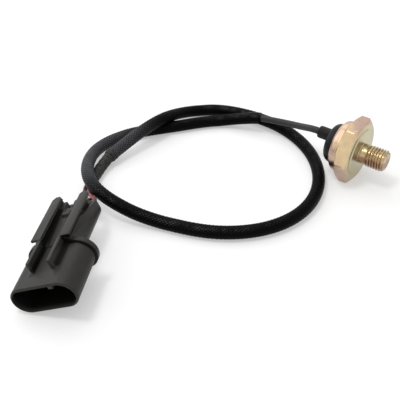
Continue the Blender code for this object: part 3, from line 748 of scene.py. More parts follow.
@dataclass
class Shell:
    """A closed surface built from rings of points.

    Each end is drawn to a pole, or the last ring joins the first where the shell is hollow.
    """

    name: str
    rings: list[np.ndarray]
    frame: Matrix
    hollow: bool = False

    def build(self, finish: Finish, sharp: float = 35.0) -> bpy.types.Object:
        """Makes the mesh.

        Args:
            finish: What it is made of.
            sharp: Edges sharper than this many degrees stay sharp.

        Returns:
            The new object, with its place in its mesh.
        """
        shape = bmesh.new()
        rows = [
            [shape.verts.new(self.frame @ Vector(point)) for point in ring] for ring in self.rings
        ]
        pairs = list(zip(rows, rows[1:]))
        if self.hollow:
            pairs.append((rows[-1], rows[0]))
        for low, high in pairs:
            for k in range(len(low)):
                after = (k + 1) % len(low)
                shape.faces.new((low[k], low[after], high[after], high[k]))
        if not self.hollow:
            for row in (rows[0], rows[-1]):
                centre = shape.verts.new(sum((vert.co for vert in row), Vector()) / len(row))
                for k in range(len(row)):
                    shape.faces.new((row[k], row[(k + 1) % len(row)], centre))
        bmesh.ops.recalc_face_normals(shape, faces=shape.faces)
        mesh = bpy.data.meshes.new(self.name)
        shape.to_mesh(mesh)
        shape.free()
        mesh.materials.append(finish.material())
        smooth(mesh, sharp)
        return link_mesh(self.name, mesh)


def turned_ring(x: float, radius: float | np.ndarray, turns: np.ndarray) -> np.ndarray:
    """Gives one ring of points about the X axis.

    Args:
        x: Its place along the axis.
        radius: Its radius, or one for each angle.
        turns: The angles of its points.

    Returns:
        The points, one a row.
    """
    columns = [np.full_like(turns, x), radius * np.cos(turns), radius * np.sin(turns)]
    return np.stack(columns, axis=1)


@dataclass
class SoftenedCopy:
    """A copy of a solid's mesh with its edges rounded."""

    node: str
    name: str
    width: float = 0.00022
    segments: int = 2
    angle: float = 32.0
    merge: float = 0.000002
    flat_angle: float = 1.0
    adjust: Callable[[bmesh.types.BMesh], None] | None = None

    def build(self, finish: Finish) -> bpy.types.Object:
        """Merges, cleans and bevels the copy.

        Args:
            finish: What it is made of.

        Returns:
            The new object, which stands for the node.
        """
        mesh = frame["nodes"][self.node].data.copy()
        mesh.name = self.name
        shape = bmesh.new()
        shape.from_mesh(mesh)
        bmesh.ops.remove_doubles(shape, verts=shape.verts, dist=self.merge)
        if self.adjust:
            self.adjust(shape)
        bmesh.ops.dissolve_limit(
            shape, angle_limit=math.radians(self.flat_angle), verts=shape.verts, edges=shape.edges
        )
        shape.to_mesh(mesh)
        shape.free()
        mesh.materials.clear()
        mesh.materials.append(finish.material())
        made = link_mesh(self.name, mesh)
        rounding = made.modifiers.new("rounding", "BEVEL")
        rounding.width = self.width
        rounding.segments = self.segments
        rounding.limit_method = "ANGLE"
        rounding.angle_limit = math.radians(self.angle)
        rounding.miter_outer = "MITER_ARC"
        rounding.use_clamp_overlap = True
        settle(made)
        smooth(made.data, self.angle)
        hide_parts(self.node)
        return made


def ride(made: bpy.types.Object, slot: str, *nodes: str) -> bpy.types.Object:
    """Fixes a piece to the body, and logs it.

    Args:
        made: The piece.
        slot: Its material slot; not used.
        nodes: The solids it stands for.

    Returns:
        The same piece.
    """
    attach(made, BODY)
    if nodes:
        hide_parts(*nodes)
    LOG.info("%s: %d faces", made.name, len(made.data.polygons))
    return made


def dress(node: str, finish: Finish) -> None:
    """Gives a carried-over solid its finish.

    Args:
        node: The solid's name.
        finish: What it is made of.
    """
    solid = frame["nodes"][node]
    solid.data.materials.clear()
    solid.data.materials.append(finish.material())
    LOG.info("%s: carried over", node)


# --------------------------------------------------------------------- cords


def in_metres(point: Point) -> Point:
    """Turns a point in millimetres into metres."""
    return tuple(value * MM for value in point)


@dataclass
class Route:
    """A cubic spline through chosen points."""

    points: Sequence[Point]
    steps: int = 24
    fine: np.ndarray = field(init=False)
    run: np.ndarray = field(init=False)

    def __post_init__(self) -> None:
        """Reads the curve once, with the distance along it at each of its fine points."""
        route = np.array(self.points, dtype=float)
        chords = np.linalg.norm(np.diff(route, axis=0), axis=1)
        count = len(route)
        system = np.zeros((count, count))
        target = np.zeros_like(route)
        system[0, :2] = 2.0, 1.0
        target[0] = 3 * (route[1] - route[0]) / chords[0]
        system[-1, -2:] = 1.0, 2.0
        target[-1] = 3 * (route[-1] - route[-2]) / chords[-1]
        for k in range(1, count - 1):
            before, after = chords[k - 1], chords[k]
            system[k, k - 1 : k + 2] = 1 / before, 2 / before + 2 / after, 1 / after
            target[k] = 3 * (route[k] - route[k - 1]) / before**2
            target[k] += 3 * (route[k + 1] - route[k]) / after**2
        slopes = np.linalg.solve(system, target)
        shares = np.arange(self.steps) / self.steps
        fine = []
        for k in range(count - 1):
            for t in shares:
                fine.append(
                    (2 * t**3 - 3 * t**2 + 1) * route[k]
                    + (t**3 - 2 * t**2 + t) * chords[k] * slopes[k]
                    + (-2 * t**3 + 3 * t**2) * route[k + 1]
                    + (t**3 - t**2) * chords[k] * slopes[k + 1]
                )
        self.fine = np.array([*fine, route[-1]])
        lengths = np.linalg.norm(np.diff(self.fine, axis=0), axis=1)
        self.run = np.concatenate([[0.0], np.cumsum(lengths)])

    def distance_to(self, index: int) -> float:
        """Gives the distance along the curve to one of its chosen points."""
        return float(self.run[index * self.steps])

    def cut(self, start: float, end: float, station: float) -> np.ndarray:
        """Gives points a station apart between two distances along the curve.

        Args:
            start: Distance to the first point.
            end: Distance to the last point.
            station: How far apart the points are.

        Returns:
            The points, one a row.
        """
        stations = np.linspace(start, end, max(3, round((end - start) / station) + 1))
        columns = [np.interp(stations, self.run, self.fine[:, axis]) for axis in range(3)]
        return np.stack(columns, axis=1)


@dataclass
class Skin:
    """A Geometry Nodes tree that wraps a skin round a path and stores the map its finish reads."""

    name: str
    sides: int
    relief: Callable[[Bench, object, object], object]
    merge: float = 0.000004

    def build(self) -> bpy.types.NodeTree:
        """Lays out the tree.

        Returns:
            The node tree, with Radius, Station, Relief and Finish as its inputs.
        """
        tree = bpy.data.node_groups.new(self.name, "GeometryNodeTree")
        for name, kind in (
            ("Path", "NodeSocketGeometry"),
            ("Radius", "NodeSocketFloat"),
            ("Station", "NodeSocketFloat"),
            ("Relief", "NodeSocketFloat"),
            ("Finish", "NodeSocketMaterial"),
        ):
            tree.interface.new_socket(name=name, in_out="INPUT", socket_type=kind)
        tree.interface.new_socket(name="Skin", in_out="OUTPUT", socket_type="NodeSocketGeometry")
        bench = Bench(tree)
        given = bench.add("NodeGroupInput").outputs
        path = bench.add("GeometryNodeResampleCurve", {"Curve": given["Path"]}, mode="LENGTH")
        bench.plug_in(path.inputs["Length"], given["Station"])
        spline = bench.add("GeometryNodeSplineParameter").outputs
        along = self.capture(bench, path.outputs[0], spline["Length"], Kept.NUMBER)
        position = bench.add("GeometryNodeInputPosition").outputs[0]
        centre = self.capture(bench, along.outputs[0], position, Kept.VECTOR)
        arc = bench.add("GeometryNodeCurveArc", {"Resolution": self.sides + 1, "Sweep Angle": TURN})
        bench.plug_in(arc.inputs["Radius"], given["Radius"])
        index = bench.add("GeometryNodeInputIndex").outputs[0]
        share = bench.math("DIVIDE", index, float(self.sides))
        ring = self.capture(bench, arc.outputs["Curve"], share, Kept.NUMBER)
        inputs = {"Curve": centre.outputs[0], "Profile Curve": ring.outputs[0]}
        skin = bench.add("GeometryNodeCurveToMesh", inputs)
        place = bench.add(
            "ShaderNodeCombineXYZ",
            {"X": bench.math("DIVIDE", along.outputs[1], MM), "Y": ring.outputs[1]},
        )
        stored = bench.add(
            "GeometryNodeStoreNamedAttribute",
            {"Geometry": skin.outputs[0], "Name": RUN_MAP, "Value": place.outputs[0]},
            data_type="FLOAT2",
            domain="CORNER",
        )
        away = bench.vector_math("SUBTRACT", position, centre.outputs[1])
        outward = bench.vector_math("NORMALIZE", away)
        height = self.relief(bench, along.outputs[1], ring.outputs[1])
        height = bench.math("MULTIPLY", height, given["Relief"])
        offset = bench.add("ShaderNodeVectorMath", {0: outward, "Scale": height}, operation="SCALE")
        raised = bench.add(
            "GeometryNodeSetPosition", {"Geometry": stored.outputs[0], "Offset": offset.outputs[0]}
        )
        merged = bench.add(
            "GeometryNodeMergeByDistance", {"Geometry": raised.outputs[0], "Distance": self.merge}
        )
        real = bench.add("GeometryNodeRealizeInstances", {"Geometry": merged.outputs[0]})
        dressed = bench.add("GeometryNodeSetMaterial", {"Geometry": real.outputs[0]})
        bench.plug_in(dressed.inputs["Material"], given["Finish"])
        bench.add("NodeGroupOutput", {"Skin": dressed.outputs[0]})
        return tree

    @staticmethod
    def capture(bench: Bench, shape: object, value: object, kind: Kept) -> bpy.types.Node:
        """Keeps a value on each point of a curve.

        Args:
            bench: The tree's bench.
            shape: The curve's socket.
            value: The value's socket.
            kind: What kind of value it is.

        Returns:
            The capture node: its first output is the curve, its second the value.
        """
        node = bench.add("GeometryNodeCaptureAttribute", {"Geometry": shape})
        node.capture_items.new(kind.value, "Kept")
        bench.plug_in(node.inputs[1], value)
        return node


@dataclass
class Strand:
    """One length of cord: a skin along a path, closed at both ends."""

    name: str
    path: np.ndarray
    diameter: float
    skin: Skin
    finish: Finish
    station: float
    relief: float
    sharp: float = 60.0

    def build(self) -> bpy.types.Object:
        """Runs the skin's tree along the path.

        Returns:
            The strand as a plain closed mesh.
        """
        tree = self.skin.build()
        curve = bpy.data.curves.new(self.name + "_path", "CURVE")
        curve.dimensions = "3D"
        line = curve.splines.new("POLY")
        line.points.add(len(self.path) - 1)
        for target, point in zip(line.points, self.path):
            target.co = (*point, 1.0)
        guide = bpy.data.objects.new(self.name + "_path", curve)
        bpy.context.scene.collection.objects.link(guide)
        step = guide.modifiers.new("skin", "NODES")
        step.node_group = tree
        inputs = {
            "Radius": self.diameter / 2,
            "Station": self.station,
            "Relief": self.relief,
            "Finish": self.finish.material(),
        }
        for item in tree.interface.items_tree:
            if item.in_out == "INPUT" and item.name in inputs:
                step[item.identifier] = inputs[item.name]
        bpy.context.view_layer.update()
        graph = bpy.context.evaluated_depsgraph_get()
        mesh = bpy.data.meshes.new_from_object(guide.evaluated_get(graph), depsgraph=graph)
        bpy.data.objects.remove(guide)
        mesh.name = self.name
        shape = bmesh.new()
        shape.from_mesh(mesh)
        open_edges = [edge for edge in shape.edges if edge.is_boundary]
        bmesh.ops.holes_fill(shape, edges=open_edges, sides=0)
        bmesh.ops.recalc_face_normals(shape, faces=shape.faces)
        shape.to_mesh(mesh)
        shape.free()
        smooth(mesh, self.sharp)
        return link_mesh(self.name, mesh)


def braid_relief(bench: Bench, along: object, share: object) -> object:
    """Raises each crossing of the braid's two sets of strands.

    Args:
        bench: The tree's bench.
        along: The distance along the strand.
        share: The share of the way round it.

    Returns:
        The height's socket, as a share of the relief.
    """
    way = bench.math("MULTIPLY", share, YARN.strands / 2)
    lay = bench.math("DIVIDE", along, 2 * YARN.lay_mm * MM)
    first = bench.wave(bench.math("ADD", way, lay))
    second = bench.wave(bench.math("SUBTRACT", way, lay))
    height = bench.math("ABSOLUTE", bench.math("MULTIPLY", first, second))
    return bench.math("SUBTRACT", height, 0.5)


def tape_relief(bench: Bench, along: object, share: object) -> object:
    """Steps up at each turn's lapped edge, and swells where the first turns hold the sleeve.

    Args:
        bench: The tree's bench.
        along: The distance along the strand.
        share: The share of the way round it.

    Returns:
        The height's socket, as a share of the relief.
    """
    turn = bench.math("SUBTRACT", bench.math("DIVIDE", along, TAPE.turn_length), share)
    climb = bench.math("FRACT", turn)
    step = bench.math("SUBTRACT", climb, bench.smooth_range(climb, TAPE.lap, 1.0))
    swell = bench.smooth_range(along, TAPE.hold_end, TAPE.hold_length)
    return bench.math("ADD", step, bench.math("MULTIPLY", swell, TAPE.swell))


def jacket_relief(bench: Bench, along: object, share: object) -> object:
    """Waves gently along an extruded jacket."""
    length = 0.0034
    return bench.wave(bench.math("ADD", bench.math("DIVIDE", along, length), share))


@dataclass
class CordRun:
    """The lead, its woven sleeve, the tape at the sleeve's end and the three wires.

    Every point is in millimetres, and the wires' points are in the plug's own frame.
    """

    lead_diameter: float = 0.0032
    sleeve_diameter: float = 0.0057
    rest_height: float = 0.00306
    tape_diameter: float = 0.0049
    tape_height: float = 0.0027
    wire_diameter: float = 0.0018
    wire_spread: float = 0.00122
    wire_end: float = 0.0383
    wire_straight: float = 0.0024
    clearance: float = 0.0005
    half_gap: float = 0.00015
    tape_over_sleeve: float = 0.0026
    boss_exit: Point = (-16.8, 0.0, 16.4)
    lead_points: tuple[Point, ...] = (
        (-7.1, 0.0, 16.4), (-11.95, 0.0, 16.4), (-16.8, 0.0, 16.4), (-18.4, 0.0, 16.4),
        (-24.0, 1.8, 14.6), (-29.0, 4.1, 12.3), (-34.6, 5.8, 10.4), (-39.8, 6.4, 9.2),
        (-45.0, 6.2, 8.4),
    )
    sleeve_points: tuple[Point, ...] = (
        (-51.4, 5.0, 7.8), (-57.2, 3.4, 6.5), (-64.8, 0.8, 4.4), (-71.4, -3.4, 3.1),
        (-77.0, -9.2, 2.85), (-85.6, -20.5, 2.85), (-94.0, -31.5, 2.85), (-99.6, -40.5, 2.9),
        (-102.3, -51.0, 3.5), (-101.0, -61.0, 4.8), (-96.4, -70.2, 6.8), (-89.5, -78.6, 8.9),
        (-81.4, -84.9, 10.1), (-72.8, -88.0, 9.7), (-63.8, -87.6, 7.5), (-54.6, -85.2, 4.9),
        (-45.0, -81.8, 3.2), (-35.2, -78.6, 2.85), (-24.6, -74.0, 2.85), (-14.8, -66.9, 2.85),
        (-6.9, -57.4, 2.85), (-2.1, -45.8, 2.85), (-1.2, -33.4, 2.85), (-4.4, -20.6, 2.85),
        (-11.4, -8.8, 2.85), (-21.4, 0.9, 2.85), (-33.6, 7.6, 2.85), (-46.6, 10.8, 2.85),
        (-59.6, 10.5, 2.85), (-71.6, 7.7, 2.85), (-81.4, 2.2, 2.9), (-87.2, -5.4, 3.8),
        (-89.2, -15.0, 6.2), (-89.4, -25.5, 8.7), (-90.0, -36.0, 9.1), (-91.2, -46.0, 7.6),
        (-92.3, -54.5, 5.7),
    )
    tape_points: tuple[Point, ...] = (
        (-92.7, -61.0, 4.5), (-92.2, -65.0, 3.7), (-91.2, -69.5, 3.0), (-89.8, -73.6, 2.6),
        (-88.2, -77.4, 2.5),
    )
    red_points: tuple[Point, ...] = (
        (-7.6, 72.4, -4.0), (-6.2, 67.3, -3.1), (-3.6, 62.3, -1.7), (0.0, 57.6, 0.2),
        (3.0, 53.6, 1.4),
    )
    brown_points: tuple[Point, ...] = (
        (-9.5, 72.4, -3.5), (-8.4, 67.4, -3.0), (-5.9, 62.0, -2.5), (-2.2, 57.1, -1.2),
        (0.5, 53.6, 0.8),
    )
    black_points: tuple[Point, ...] = (
        (-9.5, 73.3, -5.9), (-9.7, 68.0, -5.3), (-9.0, 63.0, -3.9), (-7.3, 58.0, -1.2),
        (-5.5, 53.6, 1.2),
    )

    def build(self) -> None:
        """Makes every strand."""
        lead, sleeve, tape = (
            [in_metres(point) for point in points]
            for points in (self.lead_points, self.sleeve_points, self.tape_points)
        )
        route = Route([*lead, *sleeve, *tape])
        start = route.distance_to(len(lead))
        end = route.distance_to(len(lead) + len(sleeve))
        self.build_lead(route, start - self.half_gap)
        tape_piece = self.build_tape(route, end - self.tape_over_sleeve)
        self.build_sleeve(route, start + self.half_gap, end - self.half_gap, tape_piece)
        self.build_wires(tape)

    def build_lead(self, route: Route, end: float) -> None:
        """Makes the jacketed lead between the cap and the sleeve.

        Args:
            route: The whole cord's route.
            end: Distance along it to the lead's end.
        """
        skin = Skin("lead_skin", 28, jacket_relief)
        path = route.cut(0.0, end, 0.0005)
        strand = Strand("lead", path, self.lead_diameter, skin, JACKET, 0.0005, 0.00002)
        made = ride(strand.build(), "lead_jacket", "sensor_lead")
        self.declare(made, in_metres(self.boss_exit), end, self.lead_diameter, path)

    def build_sleeve(self, route: Route, start: float, end: float, tape: bpy.types.Object) -> None:
        """Makes the woven sleeve, which carries the tape at its far end.

        Args:
            route: The whole cord's route.
            start: Distance along it to the sleeve's start.
            end: Distance along it to the sleeve's end.
            tape: The tape's piece.
        """
        skin = Skin("braid_skin", 60, braid_relief)
        path = route.cut(start, end, 0.0005)
        path[:, 2] = np.maximum(path[:, 2], self.rest_height)
        strand = Strand("woven_sleeve", path, self.sleeve_diameter, skin, YARN, 0.00034, 0.00022)
        made = ride(strand.build(), "sleeve_braid", "braided_sleeve")
        self.declare(made, path[0], end - start, self.sleeve_diameter, path, pieces=[tape])

    def build_tape(self, route: Route, start: float) -> bpy.types.Object:
        """Makes the spiral wrap of tape that ends the sleeve.

        Args:
            route: The whole cord's route.
            start: Distance along it to the tape's start.

        Returns:
            The tape's piece.
        """
        skin = Skin("tape_skin", 56, tape_relief)
        path = route.cut(start, float(route.run[-1]), 0.0003)
        path[:, 2] = np.maximum(path[:, 2], self.tape_height)
        strand = Strand("tape_turns", path, self.tape_diameter, skin, TAPE, 0.00016, 0.00016)
        return ride(strand.build(), "wrapping_tape", "tape_wrap")

    def build_wires(self, tape: Sequence[Point]) -> None:
        """Makes the three wires from the tape's end into the plug.

        Args:
            tape: The tape's points in metres.
        """
        end, before = np.array(tape[-1]), np.array(tape[-2])
        along = (end - before) / np.linalg.norm(end - before)
        side = -np.cross(along, (0.0, 0.0, 1.0))
        side /= np.linalg.norm(side)
        rise = np.cross(side, along)
        rise = rise if rise[2] > 0 else -rise
        start = end + along * self.clearance
        cosine = math.cos(math.pi / 6)
        wires = (
            ("red", 1, side * cosine + rise * 0.5, self.red_points, RED),
            ("brown", 0, -side * cosine + rise * 0.5, self.brown_points, BROWN),
            ("black", -1, -rise, self.black_points, BLACK),
        )
        rear = SEAL_START + SEAL_LENGTH
        levels = (rear + self.wire_straight, rear - self.wire_straight, SEAL_START, self.wire_end)
        for colour, way, offset, middle, finish in wires:
            node = colour + "_wire"
            first = tuple(start + offset * self.wire_spread)
            outside = [tuple(PLUG_FRAME @ (Vector(point) * MM)) for point in middle]
            inside = [tuple(PLUG_FRAME @ Vector((way * PIN_PITCH, y, PIN_HEIGHT))) for y in levels]
            route = Route([first, *outside, *inside])
            length = float(route.run[-1])
            path = route.cut(0.0, length, 0.0004)
            skin = Skin(node + "_skin", 24, jacket_relief)
            strand = Strand(node + "_run", path, self.wire_diameter, skin, finish, 0.0005, 0.000012)
            made = ride(strand.build(), colour + "_insulation", node)
            self.declare(made, path[0], length, self.wire_diameter, path, Stiffness.LIMP)

    @staticmethod
    def declare(
        made: bpy.types.Object,
        start: Sequence[float],
        length: float,
        diameter: float,
        path: np.ndarray,
        stiffness: Stiffness = Stiffness.MEDIUM,
        pieces: Sequence[bpy.types.Object] = (),
    ) -> None:
        """Does nothing with a strand and its cord data.

        Args:
            made: The strand; not used.
            start: Where it leaves the piece before it; not used.
            length: Its length along its middle; not used.
            diameter: Its diameter; not used.
            path: The points it follows; not used.
            stiffness: How readily it bends; not used.
            pieces: The separate pieces on it; not used.
        """


# ---------------------------------------------------------------------- head


@dataclass
class SensorHead:
    """Hexagon, stud and crimped collar turned from one bar, with the black cap behind."""

    across_flats: float = 0.027
    corner_share: float = 0.9965
    corner_edge: float = 0.00006
    stud_diameter: float = 0.010
    stud_length: float = 0.0124
    tip_radius: float = 0.0042
    tip_chamfer: float = 0.0009
    shank_radius: float = 0.0045
    shank_length: float = 0.0036
    thread_pitch: float = 0.00125
    thread_depth: float = 0.00077
    thread_flank: float = 2.6
    thread_root: float = 0.22
    thread_rings: int = 112
    washer_radius: float = 0.0106
    washer_height: float = 0.0004
    chamfer_radius: float = 0.01295
    hex_length: float = 0.0070
    collar_root: float = 0.0122
    collar_radius: float = 0.0115
    collar_bend: float = 0.0096
    lip_radius: float = 0.0103
    head_depth: float = 0.0108
    lip_thickness: float = 0.0007
    mouth_radius: float = 0.0096
    bore_radius: float = 0.0104
    floor_radius: float = 0.0085
    front_wall: float = 0.0026
    ledge: float = 0.0035
    edge: float = 0.00016
    bevel_steps: int = 24
    flat_steps: int = 8
    slope: float = math.tan(math.radians(30.0))

    def build(self) -> None:
        """Makes the head's body and cap, and dresses the pieces inside."""
        self.build_body()
        ride(SoftenedCopy("rear_cap", "cap", 0.0003, 3, 40.0).build(CAP_PLASTIC), "black_plastic")
        self.dress_insides()

    def angles(self) -> np.ndarray:
        """Lists the angles round the axis, closer together at the hexagon's corners.

        Returns:
            The angles in radians.
        """
        steps = np.array([0.0, 0.35, 0.8, 1.5, 2.6, 4.2, 6.4, 9.2, 12.4, 15.8, 19.2, 22.6, 26.2])
        sector = np.concatenate([steps, [30.0], 60.0 - steps[:0:-1]])
        return np.radians(np.concatenate([sector + 60.0 * k for k in range(6)]))

    def hexagon(self, turns: np.ndarray) -> np.ndarray:
        """Gives the hexagon's radius at each angle, with its corners rounded a little.

        Args:
            turns: The angles round the axis.

        Returns:
            The radius at each angle.
        """
        reach = np.radians((np.degrees(turns) + 30.0) % 60.0 - 30.0)
        corner = self.across_flats / math.sqrt(3)
        flat = self.across_flats / 2 / np.cos(np.pi / 6 - np.abs(reach))
        cut = np.full_like(flat, corner * self.corner_share)
        return self.soft_least(flat, cut, self.corner_edge)

    @staticmethod
    def soft_least(first: np.ndarray, second: np.ndarray, edge: float) -> np.ndarray:
        """Gives the lesser of two radii, rounded where they meet."""
        blend = np.clip(0.5 + 0.5 * (second - first) / edge, 0.0, 1.0)
        return second * (1 - blend) + first * blend - edge * blend * (1 - blend)

    def thread(self, x: float, turns: np.ndarray) -> np.ndarray:
        """Gives the stud's radius at a distance from the seating face.

        Args:
            x: Distance from the face.
            turns: The angles round the axis.

        Returns:
            The radius at each angle.
        """
        crest = self.stud_diameter / 2
        phase = (x / self.thread_pitch - turns / TURN) % 1.0
        rise = np.clip(np.abs(phase - 0.5) * self.thread_flank - self.thread_root, 0.0, 1.0)
        eased = rise * rise * (3 - 2 * rise)
        start = np.clip((x - self.shank_length) / self.thread_pitch, 0.0, 1.0)
        root = crest - self.thread_depth
        cut = root + (crest - root) * eased
        run_in = np.minimum(cut, self.shank_radius + (crest - self.shank_radius) * start)
        past = max(0.0, (x - self.stud_length) / self.tip_chamfer + 1.0)
        return np.minimum(run_in, crest - (crest - self.tip_radius) * past)

    def outline(self) -> list[tuple[float, float]]:
        """Lists (x, radius) from the washer face round the hexagon and into the bore.

        Returns:
            The pairs in order.
        """
        corner = self.across_flats / math.sqrt(3)
        reach = (corner - self.chamfer_radius) * self.slope
        back = (corner - self.collar_root) * self.slope
        rear = -self.hex_length
        points = [
            (self.washer_height, self.shank_radius),
            (self.washer_height, 0.0060),
            (self.washer_height, 0.0080),
            (self.washer_height, 0.0096),
            (self.washer_height, self.washer_radius - 0.0002),
            (self.washer_height * 0.7, self.washer_radius),
            (0.00010, self.washer_radius + 0.00005),
            (-0.00006, self.washer_radius + 0.00022),
            (0.0, self.washer_radius + 0.00045),
            (0.0, self.chamfer_radius - 0.0002),
        ]
        for t in np.linspace(0.0, 1.0, self.bevel_steps + 1):
            points.append((-reach * t, self.chamfer_radius + (corner - self.chamfer_radius) * t))
        for k in range(1, self.flat_steps):
            points.append((-reach + (rear + back + reach) * k / self.flat_steps, corner))
        for t in np.linspace(0.0, 1.0, self.bevel_steps + 1):
            points.append((rear + back * (1 - t), corner + (self.collar_root - corner) * t))
        bend = self.collar_bend
        points += [
            (rear - 0.00012, self.collar_root - 0.00006),
            (rear - 0.0008, self.collar_root - 0.0002),
            (-bend + 0.0008, self.collar_radius + 0.00021),
            (-bend + 0.0002, self.collar_radius + 0.00004),
            (-bend - 0.0002, self.collar_radius - 0.00014),
            (-bend - 0.0006, self.collar_radius - 0.00056),
            (-self.head_depth + 0.0002, self.lip_radius + 0.0001),
            (-self.head_depth, self.lip_radius - 0.00008),
            (-self.head_depth, self.mouth_radius + 0.0002),
            (-self.head_depth + 0.00012, self.mouth_radius),
            (-self.head_depth + self.lip_thickness, self.mouth_radius),
            (-self.head_depth + self.lip_thickness, self.bore_radius),
            (-self.ledge, self.bore_radius),
            (-self.ledge, self.floor_radius),
            (-self.front_wall, self.floor_radius),
            (-self.front_wall, self.floor_radius * 0.5),
            (-self.front_wall, 0.0004),
        ]
        return points

    def build_body(self) -> None:
        """Makes the head's body, with a real thread on its stud."""
        turns = self.angles()
        limit = self.hexagon(turns)
        foot = self.washer_height
        tip = self.stud_length
        rings = [turned_ring(tip, self.tip_radius * share, turns) for share in (0.08, 0.5, 0.9)]
        for x in np.linspace(tip, self.shank_length, self.thread_rings + 1):
            rings.append(turned_ring(x, self.thread(x, turns), turns))
        rings.append(turned_ring(self.shank_length * 0.6, self.shank_radius, turns))
        rings.append(turned_ring(foot + 0.0004, self.shank_radius, turns))
        rings.append(turned_ring(foot + 0.00008, self.shank_radius + 0.0002, turns))
        for x, radius in self.outline():
            if radius > self.lip_radius + 0.0016:
                radius = self.soft_least(np.full_like(turns, radius), limit, self.edge)
            rings.append(turned_ring(x, radius, turns))
        made = Shell("head_body", rings, HEAD_FRAME).build(CHROMATE, 28.0)
        made.data.materials.append(STUD_PLATE.material())
        for face in made.data.polygons:
            if face.center.x - FACE_X > foot + 0.00002:
                face.material_index = 1
        ride(made, "plated_steel", "sensor_housing")

    def dress_insides(self) -> None:
        """Gives the solids inside the head their finishes."""
        for node, finish in (
            ("vibration_plate", SPRING_STEEL),
            ("clamp_ring", SPRING_STEEL),
            ("contact_spring", SPRING_STEEL),
            ("piezo_disc", CERAMIC),
            ("signal_terminal", BRASS),
            ("ground_terminal", BRASS),
            ("o_ring", BLACK_RUBBER),
            ("lead_grommet", BLACK_RUBBER),
        ):
            dress(node, finish)


# ---------------------------------------------------------------------- plug


@dataclass
class Plug:
    """The moulded three-way plug with its pins, the plate that steadies them and the wire seals."""

    ways: int = 3
    seal_radius: float = 0.0017
    seal_sides: int = 40
    seal_hole: float = 0.0012
    rib_depth: float = 0.0002
    ribs: int = 3
    rib_steps: int = 48
    mouth_radius: float = 0.0046
    mouth_flare: float = 0.0007
    wall_slack: float = 0.00004
    floor_slack: float = 0.0001

    def flare_mouth(self, shape: bmesh.types.BMesh) -> None:
        """Widens the mouth toward its rim, as the mould's draft does.

        Args:
            shape: The housing's mesh.
        """
        back = PLUG_FRAME.inverted()
        for vert in shape.verts:
            place = back @ vert.co
            middle = Vector((max(-MOUTH_HALF, min(MOUTH_HALF, place.x)), place.y, 0.0))
            away = Vector((place.x - middle.x, 0.0, place.z))
            on_wall = abs(away.length - self.mouth_radius) < self.wall_slack
            if on_wall and place.y < MOUTH_DEPTH - self.floor_slack:
                reach = self.mouth_radius + self.mouth_flare * (1 - place.y / MOUTH_DEPTH)
                vert.co = PLUG_FRAME @ (middle + away.normalized() * reach)

    def build(self) -> None:
        """Makes the housing, the pins, the plate and the seals."""
        shell = SoftenedCopy("plug_housing", "housing", angle=30.0, adjust=self.flare_mouth)
        ride(shell.build(PLUG_PLASTIC), "grey_plastic")
        for way in range(self.ways):
            pin = SoftenedCopy(f"pin_terminal_{way + 1}", f"pin_{way + 1}", 0.00008, 2).build(BRASS)
            ride(pin, "brass_pin")
            self.build_seal(way)
        dress("pin_retainer", DARK_PLASTIC)

    def build_seal(self, way: int) -> None:
        """Makes one ribbed wire seal.

        Args:
            way: Which wire it seals, counted from 0 at the black one.
        """
        length = SEAL_LENGTH
        outline = [
            (0.0, self.seal_hole),
            (0.0, self.seal_radius - 0.0002),
            (0.0002, self.seal_radius),
        ]
        ribbed = length / 2
        for k in range(1, self.rib_steps):
            x = ribbed * k / self.rib_steps
            dip = self.rib_depth * (0.5 - 0.5 * math.cos(TURN * self.ribs * x / ribbed))
            outline.append((0.0002 + x, self.seal_radius - dip))
        outline += [
            (length - 0.0003, self.seal_radius),
            (length - 0.0001, self.seal_radius - 0.0001),
            (length, self.seal_radius - 0.0003),
            (length, self.seal_hole),
        ]
        across = (way - (self.ways - 1) / 2) * PIN_PITCH
        place = PLUG_FRAME @ Matrix.Translation((across, SEAL_START, PIN_HEIGHT))
        place = place @ Matrix.Rotation(math.pi / 2, 4, "Z")
        turns = np.arange(self.seal_sides) * TURN / self.seal_sides
        rings = [turned_ring(x, radius, turns) for x, radius in outline]
        made = Shell(f"seal_{way + 1}", rings, place, hollow=True).build(GREEN_RUBBER, 50.0)
        ride(made, "seal_rubber", f"wire_seal_{way + 1}")


# -------------------------------------------------------------------- studio


@dataclass
class Lamp:
    """A soft square lamp that hangs at a place and points at a target."""

    name: str
    place: Point
    target: Point
    size: float
    power: float

    def build(self) -> None:
        """Hangs the lamp and turns it to its target."""
        light = bpy.data.lights.new(self.name, "AREA")
        light.shape = "SQUARE"
        light.size = self.size
        light.energy = self.power
        made = bpy.data.objects.new(self.name, light)
        bpy.context.scene.collection.objects.link(made)
        made.location = self.place
        way = Vector(self.target) - Vector(self.place)
        made.rotation_euler = way.to_track_quat("-Z", "Y").to_euler()


